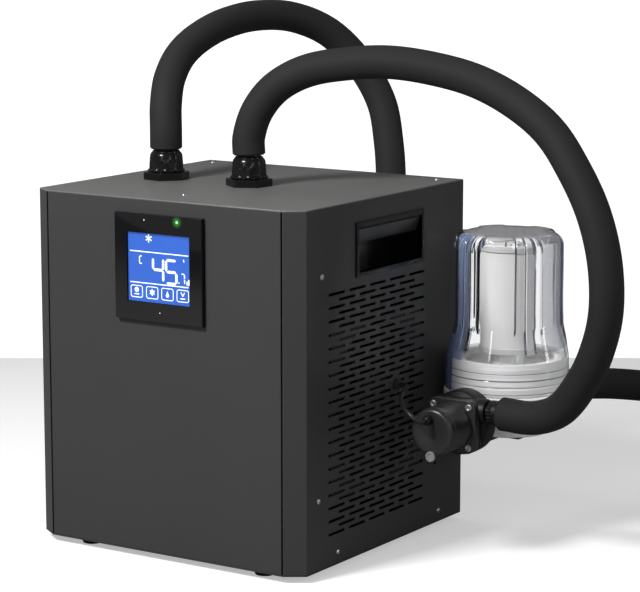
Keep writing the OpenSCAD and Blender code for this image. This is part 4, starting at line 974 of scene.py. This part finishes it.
def bowl_thread(height, angle):
    """A thread on the neck's outer rows, that runs out at both of its ends.

    It stands where height / pitch - angle / full turn is near the middle of a whole number.
    """
    h = height / MM
    phase = np.mod(h / THREAD_PITCH - angle / (2 * math.pi), 1.0)
    crest = np.clip(1.6 - np.abs(phase - 0.5) * 6.4, 0, 1)
    ends = np.clip((h - 2) / 3, 0, 1) * np.clip((THREAD_END - h) / 3, 0, 1)
    outside = np.arange(len(height))[:, None] <= len(THREAD_ROWS)
    return np.where(outside, THREAD_HEIGHT * MM * crest * ends, 0.0)


def make_head():
    """The white head: a lower body, a rim with grip notches, a neck with a thread and spouts."""
    def part(name, profile, z, **shape):
        """A turned part of the head at a height."""
        turned(name, profile, (BOWL_X, BOWL_Y, z), "white_plastic", "filter_head", **shape)

    body = [(0, 0), (46, 0), *arc((50, 4), 4, -90, 0), (54, 30), (56, 32), (70, 32),
            *arc((71.2, 35), 3, -90, 0), (74.2, 47), *arc((72.2, 48), 2, 0, 90), (62, 50),
            (62, 49), (0, 49)]
    part("head_body", body, HEAD_Z, sides=288, ripple=grip_notches)
    neck = [(14, 0), *((64, h) for h in THREAD_ROWS), (62.5, 37.6), (56, 37.6), (55, 37),
            (55, 32), (50, 31.6), (50, 27), (14, 27)]
    part("head_neck", neck, HEAD_Z + 50, sides=120, ripple=bowl_thread, closed=True, sharp=60)
    seat = [(7, -1), (18.8, -1), (18.8, 41.5), (18.0, 42.8), (12.8, 42.8), (12.8, 64),
            (11.8, 65), (7, 65)]
    part("head_spigot", seat, HEAD_Z + 50, closed=True)
    boss = [(7, 40), (17, 40), (17, 66), (18, 67), (18, 73.5), (17, 74.5), (7, 74.5)]
    pipe = [(7, 70), (12, 70), (12, 88.2), (11.2, 89), (7, 89)]
    for name, profile in (("head_inlet_boss", boss), ("head_inlet_pipe", pipe),
                          ("head_outlet_boss", [(r, -h) for r, h in boss[::-1]])):
        part(name, profile, SPOUT_Z, axis="Y", sides=64, closed=True)


class CHILLER_OT_filter(bpy.types.Operator):
    """Make the clear bowl, the fibre cartridge and the white head."""

    bl_idname = "chiller.filter"
    bl_label = "Water filter"

    def execute(self, context):
        """The three stand on one upright axis."""
        make_bowl()
        make_cartridge()
        make_head()
        return {"FINISHED"}


# The water ports on the cover

FLANGE_R = 27.7
CAP_R, CAP_FLATS = 21.5, 10


def make_port(name, node, at, turn):
    """The hexagonal flange: six flats with rounded corners, a step and the hose's neck."""
    flats = flat_sided(6, turn, 0.012)

    def hexagon(height, angle):
        """Draws the flange's rim in to its flats, and less so at its two edges."""
        on_flange = (height > -0.5 * MM) & (height < 8.6 * MM)
        edge = np.where(height < 0.4 * MM, 0.4, np.where(height > 7.9 * MM, 0.6, 0.0))
        return np.where(on_flange, ((FLANGE_R - edge) * flats(angle) - FLANGE_R) * MM, 0.0)

    flange = [(15, -1.5), (15, -0.6), *((FLANGE_R, h) for h in (0.0, 0.5, 1.0, 7.0, 7.8, 8.4)),
              (22.2, 8.9), (22.2, 9.0), (13, 9.0), (13, 36), (9.5, 36), (9.5, -1.5)]
    turned(name, flange, at, "port_plastic", node, sides=144, ripple=hexagon, closed=True)
    shank = [(9.5, -24), (15.0, -24)]
    for k in range(8):
        shank += [(16.0, -23.2 + 2.5 * k), (15.1, -22.0 + 2.5 * k)]
    shank += [(16.0, -2.6), (16.0, -1.6), (9.5, -1.6)]
    turned(name + "_shank", shank, at, "port_plastic", node, sides=64, closed=True)


def cap_facets(height, angle):
    """Ten flats that melt into the nut's dome above them."""
    h = height / MM
    fade = np.clip((19.0 - h) / 9.0, 0, 1) * np.clip((h - 1.8) / 1.2, 0, 1)
    flats = flat_sided(CAP_FLATS, 0.3, 0.004)(angle)
    inside = (h < 0.3) | (h > 24.2)
    return np.where(inside, 0.0, fade * CAP_R * MM * 1.2 * (flats - 0.985))


def make_cap(name, node, body, at):
    """The domed nut: a rolled foot, and a dome whose radius is 16.6 + 4 cos t."""
    dome = [(13.05, 0), (21.2, 0), (22.0, 0.6), (22.0, 1.9), (21.0, 2.6), (20.6, 3.4)]
    dome += [(16.6 + 4.0 * math.cos(t), 3.4 + 19.2 * math.sin(t) ** 0.9)
             for t in np.linspace(0.12, math.pi / 2, 14)]
    dome += [(16.2, 24.0), (15.4, 24.8), (14.2, 25.0), (13.05, 24.6)]
    turned(name, dome, (at[0], at[1], box_mm(node)[0][2]), "port_plastic", node, sides=200,
           ripple=cap_facets, closed=True, sharp=28, body=body)


class CHILLER_OT_ports(bpy.types.Operator):
    """Make both water ports and their turning cap nuts."""

    bl_idname = "chiller.ports"
    bl_label = "Water ports"

    def execute(self, context):
        """Each port's hexagon has a turn of its own."""
        for side, turn in (("left", 47), ("right", 26)):
            make_port(side + "_port", "port_%s_body" % side, PORTS[side], math.radians(turn))
        for side in PORTS:
            make_cap(side + "_cap_nut", "port_%s_cap" % side, side + "_cap", PORTS[side])
        return {"FINISHED"}


# The display

SEGMENTS = {"4": "fgbc", "5": "afgcd", "7": "abc"}
ICON_U, ICON_V = (0.035, 0.285, 0.53, 0.775), 0.95
SHEET_T = 1.2               # the glass before the bezel, in millimetres
MARK_GAP = 0.01             # the least step between marks that lie before one another


def digit_faces(digit, u, v, width, height, stroke):
    """The lit bars of one seven-bar digit as six-cornered faces, drawn in width and height."""
    x, z = screen_point(u, v)
    gap, half, s = stroke * 0.14, height / 2, stroke / 2
    across = [(gap, 0), (s + gap, s), (width - s - gap, s), (width - gap, 0),
              (width - s - gap, -s), (s + gap, -s)]
    upright = [(0, gap), (s, s + gap), (s, half - s - gap), (0, half - gap),
               (-s, half - s - gap), (-s, s + gap)]
    feet = {"a": (0, height), "g": (0, half), "d": (0, 0), "f": (0, half), "b": (width, half),
            "c": (width, 0)}
    return [[(x + feet[name][0] + px, z + feet[name][1] + pz)
             for px, pz in (across if name in "agd" else upright)] for name in SEGMENTS[digit]]


def bar(x0, z0, x1, z1):
    """An upright rectangle between two corners."""
    return [(x0, z0), (x1, z0), (x1, z1), (x0, z1)]


def disc(x, z, r, sides=20):
    """A round face."""
    t = np.arange(sides) * 2 * math.pi / sides
    return [(x + r * math.cos(a), z + r * math.sin(a)) for a in t]


def star(x, z, r, w):
    """Three crossed bars, the plain sign for cold."""
    faces = []
    for a in np.radians((30, 90, 150)):
        c, s = math.cos(a), math.sin(a)
        faces.append([(x + p * c * r - q * s * w, z + p * s * r + q * c * w)
                      for p, q in ((1, 1), (-1, 1), (-1, -1), (1, -1))])
    return faces


def screen_point(u, v):
    """A point of the screen from its left and top edges, as shares of its width and height."""
    x = SCREEN_LOW[0] + u * (SCREEN_HIGH[0] - SCREEN_LOW[0])
    z = SCREEN_HIGH[2] - v * (SCREEN_HIGH[2] - SCREEN_LOW[2])
    return x, z


def icon_frames():
    """Four round-cornered frames along the foot of the screen."""
    faces = []
    width, height, radius, stroke = 16.8, 14.0, 2.6, 0.9
    for u in ICON_U:
        x, z = screen_point(u, ICON_V)
        outer, ways = round_corners((x, z), (x + width, z + height), radius, 5)
        inner = (outer - stroke * ways).tolist()
        outer = outer.tolist()
        faces += [[outer[k - 1], outer[k], inner[k], inner[k - 1]] for k in range(len(outer))]
    return faces


def icon_signs():
    """Plain signs in the frames: a clock on a foot, a gear, a drop and a power sign."""
    faces = []
    for u, kind in zip(ICON_U, ("clock", "gear", "drop", "power")):
        x, z = screen_point(u, ICON_V)
        x, z = x + 8.4, z + 7.4
        foot = bar(x - 3.4, z - 4.0, x + 3.4, z - 2.9)
        if kind == "clock":
            faces += [disc(x, z + 1.4, 2.9), foot]
        elif kind == "gear":
            faces += star(x, z, 3.8, 0.6) + [disc(x, z, 2.4)]
        elif kind == "drop":
            faces += [[(x - 2.0, z - 1.6), (x + 2.0, z - 1.6), (x, z + 3.6)],
                      disc(x, z - 1.9, 2.1)]
        else:
            arm = ((3.0, 3.4), (1.9, 3.9), (-0.5, -0.6), (0.5, -0.9))
            faces += [[(x + side * px, z + pz) for px, pz in arm] for side in (-1, 1)] + [foot]
    return faces


def readout():
    """The big and the small digits, their point and the marks beside them."""
    faces = digit_faces("4", 0.40, 0.685, 14.0, 26.0, 3.0)
    faces += digit_faces("5", 0.61, 0.70, 14.0, 26.0, 3.0)
    faces += digit_faces("7", 0.85, 0.685, 4.6, 11.0, 1.4)
    x, z = screen_point(0.815, 0.685)
    faces.append(disc(x, z + 0.8, 0.8))
    for u, v, marks in ((0.935, 0.70, ((0, 0, 1.2, 4.6), (2.0, 0, 3.8, 6.4))),
                        (0.175, 0.455, ((0, 1, 1.2, 8.5), (1.0, 0, 4, 1.2), (1.0, 8.3, 4, 9.5))),
                        (0.88, 0.375, ((0, 2.2, 1.6, 3.2), (0.8, 0, 1.7, 2.2)))):
        x, z = screen_point(u, v)
        faces += [bar(x + x0, z + z0, x + x1, z + z1) for x0, z0, x1, z1 in marks]
    return faces


def top_row():
    """The sign for cold at the top and the two lines that part the screen."""
    x, z = screen_point(0.335, 0.075)
    faces = star(x, z, 4.6, 0.7) + [disc(x, z, 1.4)]
    for v in (0.274, 0.728):
        (x0, z), (x1, _) = screen_point(0.03, v), screen_point(0.965, v)
        faces.append(bar(x0, z - 0.55, x1, z + 0.55))
    return faces


def flat_marks(name, faces, y, finish):
    """Faces drawn in width and height, laid in the plane at depth y, facing the front."""
    points, corners = [], []
    for face in faces:
        area = sum(a[0] * b[1] - b[0] * a[1] for a, b in zip(face, face[1:] + face[:1]))
        corners.append(list(range(len(points), len(points) + len(face))))
        points += [(x, y, z) for x, z in (face if area > 0 else face[::-1])]
    own(new_piece(name, place(points), corners, finish, smooth=False), None)


def make_bezel():
    """Four glossy bars round the screen, with a glass sheet before them and the screen."""
    low, high = BEZEL_LOW, BEZEL_HIGH
    points, faces = [], []
    for x0, x1, z0, z1 in ((low[0], SCREEN_LOW[0], low[2], high[2]),
                           (SCREEN_HIGH[0], high[0], low[2], high[2]),
                           (SCREEN_LOW[0], SCREEN_HIGH[0], low[2], SCREEN_LOW[2]),
                           (SCREEN_LOW[0], SCREEN_HIGH[0], SCREEN_HIGH[2], high[2])):
        start = len(points)
        points += [(x, y, z) for y in (low[1] + SHEET_T, high[1]) for x in (x0, x1)
                   for z in (z0, z1)]
        faces += [[start + k for k in face] for face in (
            (0, 1, 3, 2), (4, 6, 7, 5), (0, 4, 5, 1), (2, 3, 7, 6), (0, 2, 6, 4), (1, 5, 7, 3))]
    own(weld(new_piece("bezel_back", place(points), faces, "bezel_gloss"), smooth=False),
        "display_bezel")
    rounded_slab("bezel_face", low, (high[0], low[1] + SHEET_T, high[2]), 1.6, 0.5, "bezel_glass",
                 "display_bezel")


class CHILLER_OT_display(bpy.types.Operator):
    """Make the bezel with its glass, the lit screen with its readout and the lamps."""

    bl_idname = "chiller.display"
    bl_label = "Display"

    def execute(self, context):
        """The readout lies just before the screen, and the dots and lamps before the glass."""
        make_bezel()
        for name, faces in (("readout_digits", readout()), ("readout_lines", top_row()),
                            ("icon_frames", icon_frames()), ("icon_signs", icon_signs())):
            flat_marks(name, faces, SCREEN_LOW[1] - 5 * MARK_GAP, "screen_white")
        front = BEZEL_LOW[1] - 3 * MARK_GAP
        dots = [disc(SCREEN_LOW[0] + 24.5, BEZEL_HIGH[2] - 6.6, 0.6),
                disc(BEZEL_LOW[0] + 62, BEZEL_LOW[2] + 10.5, 0.55)]
        flat_marks("bezel_dots", dots, front, "screen_white")
        x, _, z = np.mean(box_mm("status_led"), axis=0)
        make_halo("lamp_halo", place((x, front - 2 * MARK_GAP, z)), 0.0075, (0.1, 0.42, 0.08))
        flat_marks("status_halo", [disc(x, z, 7.0, 36)], front - 2 * MARK_GAP, "lamp_halo")
        flat_marks("status_lamp", [disc(x, z, 1.4, 24)], front - 4 * MARK_GAP, "lamp_green")
        return {"FINISHED"}


# The pump and its fittings

FLANGE_HALF, FLANGE_CORNER = 31, 12
SCREW_REACH, POST_REACH = 23, 32.5
MOTOR_LENGTH = 44


def flange(name, node, finish, depth, thickness, edge):
    """A square plate with rounded corners round the pump's axis."""
    low = (BOWL_X - FLANGE_HALF, depth, SPOUT_Z - FLANGE_HALF)
    high = (BOWL_X + FLANGE_HALF, depth + thickness, SPOUT_Z + FLANGE_HALF)
    rounded_slab(name, low, high, FLANGE_CORNER, edge, finish, node)


def make_motor():
    """The can: a rounded rear cap with a shallow dish, a seam, and a rolled front rim."""
    can = [(0, 1.0), (9, 1.0), (10, 0.6), (20, 0.6), *arc((22.8, 4.0), 4.0, -90, -8, 8),
           (26.9, 8.5), (26.4, 8.9), (26.4, 9.7), (27.0, 10.2), (27.0, 38.5), (27.3, 39),
           (27.3, 43.2), (26.8, MOTOR_LENGTH), (0, MOTOR_LENGTH)]
    turned("motor_can", can, (BOWL_X, MOTOR_Y, SPOUT_Z), "motor_paint", "pump_motor", "Y", 112)
    flange("motor_flange", "pump_motor", "motor_paint", MOTOR_Y + MOTOR_LENGTH, 10, 1.2)


def make_volute():
    """The pump chamber: a mounting ring, the round belly and a stepped cover to the filter."""
    def part(name, profile, at, axis, sides, **shape):
        """A turned part of the chamber."""
        turned(name, profile, at, "black_plastic", "pump_volute", axis, sides, **shape)

    flange("volute_flange", "pump_volute", "black_plastic", VOLUTE_Y, 6, 1.0)
    belly = [(0, 4), (31, 4), (33, 5), *arc((33.5, 9), 3.5, -90, 0), (37, 26),
             *arc((31.0, 26), 6.0, 0, 90), (22, 32), (20, 33), (20, 36), (19, 37), (0, 37)]
    part("volute_belly", belly, (BOWL_X, VOLUTE_Y, SPOUT_Z), "Y", 112)
    neck = [(7, 20), (14.5, 20), (14.5, 34), (13.6, 36.6), (10, 37), (10, 52.6), (9.6, 53), (7, 53)]
    part("volute_outlet", neck, (BOWL_X, *OUTLET[1:]), "X", 64, closed=True)
    post = [(0, 2), (4.6, 2), (4.6, 14), (3.6, 15.5), (0, 15.5)]
    for k, a in enumerate(np.radians((45, 135, 225, 315))):
        at = (BOWL_X + POST_REACH * math.cos(a), VOLUTE_Y, SPOUT_Z + POST_REACH * math.sin(a))
        part("volute_post_%d" % k, post, at, "Y", 32)


def make_pump_screws():
    """Four cap screws in the motor's flange: a round head with a round socket in its face."""
    head = [(0, -0.9), (2.0, -0.9), (2.0, -1.84), (2.4, -2.0), (3.44, -2.0), (4.0, -1.72), (4.0, 0),
            (0, 0)]
    for x in (-SCREW_REACH, SCREW_REACH):
        for z in (-SCREW_REACH, SCREW_REACH):
            turned("pump_screw_%d_%d" % (x + SCREW_REACH, z + SCREW_REACH), head,
                   (BOWL_X + x, MOTOR_Y + MOTOR_LENGTH, SPOUT_Z + z), "steel", "pump_screws",
                   "Y", 36)


def make_gland():
    """The cable gland: a hexagon, a dome nut and a tapered strain relief."""
    flats = flat_sided(6, 0.3, 0.02)

    def hexagon(height, angle):
        """Draws the gland's first rows in to six flats."""
        zone = (height > -3.2 * MM) & (height < 0.1 * MM)
        return np.where(zone, 5.9 * MM * (flats(angle) - 1), 0.0)

    body = [(0, 0), (5.9, 0), (5.9, -0.4), (5.9, -2.8), (5.9, -3.1), (5.0, -3.3), (5.2, -3.6),
            (5.2, -5.6), (4.6, -6.8), (3.6, -7.6), (2.7, -8.0), (0, -8.0)]
    turned("cable_gland", body, (CABLE_ROUTE[0][0], MOTOR_Y, CABLE_ROUTE[0][2]), "black_plastic",
           "pump_gland", "Y", 72, hexagon)


def gripped(count, depth, low, high):
    """Grip ribs round a nut: the radius swings with a flattened wave between two heights."""
    def grip(height, angle):
        """The wave, clipped at its crests, as a step inwards."""
        wave = np.clip(np.cos(count * angle) * 2.2, -1, 1) * 0.5 - 0.5
        zone = (height > low * MM) & (height < high * MM)
        return np.where(zone, depth * MM * wave, 0.0)

    return grip


class CHILLER_OT_pump(bpy.types.Operator):
    """Make the pump's motor, chamber, screws, gland, plug and its two turning nuts."""

    bl_idname = "chiller.pump"
    bl_label = "Pump"

    def execute(self, context):
        """The pump's axis runs from front to back through the filter's spouts."""
        make_motor()
        make_volute()
        make_pump_screws()
        make_gland()
        plug = [(0, 0), (5.9, 0), (5.9, -1.9), (5.3, -2.5), (3.8, -2.5), (3.4, -1.6), (0, -1.6)]
        turned("motor_plug", plug, (BOWL_X, MOTOR_Y, SPOUT_Z - 27.3), "grey_plastic", "pump_plug",
               "Y", 40)
        nut = [(10.05, -13), (13, -13), (13.9, -12.2), (13.9, -8.2), (13.4, -7.6), (13.9, -7.0),
               (13.9, -1.0), (13.0, -0.2), (10.05, -0.2)]
        turned("outlet_nut", nut, (OUTLET[0] - 0.1, *OUTLET[1:]), "black_plastic", "outlet_union",
               "X", 120, gripped(20, 0.9, -12.6, -8.0), closed=True, body="outlet_nut")
        ring = [(12.05, 0.2), (15.8, 0.2), (16.9, 1.0), (16.9, 9.2), (15.8, 9.8), (15.8, 12.9),
                (15.0, 13.7), (12.05, 13.7)]
        turned("suction_nut", ring, (BOWL_X, BOWL_Y + 74.7, SPOUT_Z), "black_plastic",
               "suction_union", "Y", 144, gripped(24, 1.1, 0.8, 9.5), closed=True,
               body="suction_nut")
        return {"FINISHED"}


# The cabinet's cover, handle frames and screws

FOLD_W, FOLD_D = 22, 14.6
EDGE_R = 1.3
FRAME_W, FRAME_PROUD, FRAME_EDGE, FRAME_WALL, FRAME_CORNER = 5.0, 1.0, 1.0, 0.8, 3.0
SCREW_T = 1.8


def roll(radius, steps):
    """Steps in and steps down of a rolled edge: radius (1 - cos t) and radius (1 - sin t)."""
    return [(radius * (1 - math.cos(t)), radius * (1 - math.sin(t)))
            for t in np.linspace(0, math.pi / 2, steps)]


def drawn_in(outline, inset):
    """A convex outline, drawn counter-clockwise, with every side moved inwards by inset."""
    sides = np.roll(outline, -1, axis=0) - outline
    out = np.stack([sides[:, 1], -sides[:, 0]], axis=-1) / np.linalg.norm(sides, axis=1)[:, None]
    before = np.roll(out, 1, axis=0)
    turn = 1 + (out * before).sum(axis=1)
    return outline - inset * (out + before) / turn[:, None]


def make_cover():
    """The top sheet: the cabinet's outline with its upper edge rolled over."""
    low, high = box_mm("top_cover")
    w, d = high[0], high[1]
    outline = np.array([[0, FOLD_D], [FOLD_W, 0], [w - FOLD_W, 0], [w, FOLD_D], [w, d], [0, d]])
    rows = [(0, low[2]), (0, low[2] + 0.1)]
    rows += [(inwards, high[2] - down) for inwards, down in roll(EDGE_R, 7)]
    rings = [np.column_stack([drawn_in(outline, inset), np.full(len(outline), z)])
             for inset, z in rows]
    faces = loft_faces(len(rows), len(outline))
    own(weld(new_piece("cover_sheet", place(np.vstack(rings)), faces, "powder_coat_top"), sharp=35),
        "top_cover")


def grip_box(side):
    """The low and high corner of a grip, the level of its outer face and the way outwards."""
    low, high = box_mm("handle_" + side)
    return (low, high, high[0], 1) if side == "right" else (low, high, low[0], -1)


def make_handle_frame(side):
    """The moulded frame round a grip: a rounded section swept round a rectangle."""
    low, high, face, outward = grip_box(side)
    bend = roll(FRAME_EDGE, 5)
    section = [(0.0, -1.0), *((inwards, FRAME_PROUD - down) for inwards, down in bend),
               *((FRAME_W - down, FRAME_PROUD - inwards) for inwards, down in bend),
               (FRAME_W, -6.0), (FRAME_W - FRAME_WALL, -6.0), (FRAME_W - FRAME_WALL, -1.0)]
    points = []
    for inset, height in section:
        outline, _ = round_corners(low[1:] + inset, high[1:] - inset,
                                   max(FRAME_CORNER - inset, 0.4), 7)
        points.append(np.column_stack([np.full(len(outline), face + outward * height), outline]))
    faces = grid_faces(len(section), len(points[0]), wrap_rows=True, wrap_columns=True)
    piece = new_piece(side + "_grip_frame", place(np.vstack(points)), faces, "port_plastic")
    own(weld(piece, sharp=50), None)


def make_lip(side):
    """The sloped lip under the frame's upper bar, that the fingers pull on, in a coat lighter than
    the frame's plastic: painted light on its slope.
    """
    low, high, face, outward = grip_box(side)
    section = [(-1.2, 0.0), (-0.4, -0.8), (-7.4, -19.4), (-8.4, -20.4), (-9.6, -19.8), (-3.6, 0.0)]
    ends = (low[1] + FRAME_W + 0.2, high[1] - FRAME_W - 0.2)
    points = [(face + outward * x, y, high[2] - FRAME_W + z) for y in ends for x, z in section]
    faces = loft_faces(2, len(section))
    # Painted light: the lip takes the motor's lighter paint in place of the frame's black plastic.
    own(weld(new_piece(side + "_grip_lip", place(points), faces, "motor_paint"), sharp=35), None)


def islands(solid):
    """The corners of each separate body in a CAD node, found by joining along its edges."""
    mesh, turn = solid.data, np.array(solid.matrix_world)
    spots = np.empty(len(mesh.vertices) * 3)
    mesh.vertices.foreach_get("co", spots)
    ends = np.empty(len(mesh.edges) * 2, dtype=int)
    mesh.edges.foreach_get("vertices", ends)
    spots = spots.reshape(-1, 3) @ turn[:3, :3].T + turn[:3, 3]
    _, same = np.unique(np.round(spots / MM, 3), axis=0, return_inverse=True)
    same = same.reshape(-1)
    pairs = same[ends.reshape(-1, 2)]
    label, before = np.arange(same.max() + 1), None
    while before is None or (label != before).any():
        before = label
        low = np.minimum(label[pairs[:, 0]], label[pairs[:, 1]])
        label = label.copy()
        np.minimum.at(label, pairs[:, 0], low)
        np.minimum.at(label, pairs[:, 1], low)
    body = label[same]
    return [spots[body == k] for k in np.unique(body)]


def cross_recess(height, angle):
    """Narrows the first rows of a screw head's profile to a cross with four arms."""
    arm = np.clip((np.cos(4 * angle) + 0.1) * 2.5, 0, 1)
    rows = np.arange(len(height))[:, None]
    return np.where((rows > 0) & (rows < 3), -1.0 * MM * (1 - arm), 0.0)


def make_panel_screws():
    """A domed head with a cross recess over every sheet-metal screw of the cabinet."""
    low, high = box_mm("panel_screws")
    for k, spots in enumerate(islands(NODES["panel_screws"])):
        first, last = (spots.min(axis=0) - CORNER) / MM, (spots.max(axis=0) - CORNER) / MM
        size = last - first
        axis = int(np.argmax(np.abs(size - np.median(size))))
        outward = 1 if high[axis] - last[axis] < first[axis] - low[axis] else -1
        at = (first + last) / 2
        at[axis] = (last if outward > 0 else first)[axis] - outward * SCREW_T
        r, t = float(np.median(size)) / 2, outward * SCREW_T
        head = [(0, t * 0.3), (1.25, t * 0.3), (1.4, t), (1.8, t * 0.98), (r * 0.72, t * 0.8),
                (r * 0.92, t * 0.5), (r, t * 0.2), (r, 0), (0, 0)]
        turned("panel_screw_%d" % k, head, at, "steel", "panel_screws", "XYZ"[axis], 32,
               cross_recess)


class CHILLER_OT_cabinet(bpy.types.Operator):
    """Make the cabinet's cover, the frames and lips of both grips and the screws."""

    bl_idname = "chiller.cabinet"
    bl_label = "Cabinet details"

    def execute(self, context):
        """The panels themselves are the CAD's."""
        make_cover()
        for side in ("right", "left"):
            make_handle_frame(side)
        for side in ("right", "left"):
            make_lip(side)
        make_panel_screws()
        return {"FINISHED"}


# The add-on

OPERATORS = (
    CHILLER_OT_finishes,
    CHILLER_OT_stage,
    CHILLER_OT_hoses,
    CHILLER_OT_filter,
    CHILLER_OT_ports,
    CHILLER_OT_display,
    CHILLER_OT_pump,
    CHILLER_OT_cabinet,
)


class CHILLER_PT_sidebar(bpy.types.Panel):
    """Lists the settings and the operators."""

    bl_idname = "CHILLER_PT_sidebar"
    bl_label = "Ice bath chiller"
    bl_space_type = "VIEW_3D"
    bl_region_type = "UI"
    bl_category = "Chiller"

    def draw(self, context):
        """A box for each group of settings and a button for each operator."""
        for settings in (context.scene.chiller_stage, context.scene.chiller_finish):
            box = self.layout.box()
            for name in settings.__annotations__:
                box.prop(settings, name)
        for operator in OPERATORS:
            self.layout.operator(operator.bl_idname)


CLASSES = (ChillerStage, ChillerFinish, *OPERATORS, CHILLER_PT_sidebar)


def register():
    """Makes the classes known and puts both groups of settings on the scene."""
    for group in CLASSES:
        bpy.utils.register_class(group)
    bpy.types.Scene.chiller_stage = bpy.props.PointerProperty(type=ChillerStage)
    bpy.types.Scene.chiller_finish = bpy.props.PointerProperty(type=ChillerFinish)


def unregister():
    """Takes back what register did, in the other order."""
    del bpy.types.Scene.chiller_finish
    del bpy.types.Scene.chiller_stage
    for group in reversed(CLASSES):
        bpy.utils.unregister_class(group)


def main():
    """Registers the classes and makes every piece in order."""
    register()
    for operator in OPERATORS:
        group, name = operator.bl_idname.split(".")
        getattr(getattr(bpy.ops, group), name)()
    bpy.context.view_layer.update()


if __name__ == "__main__":
    main()
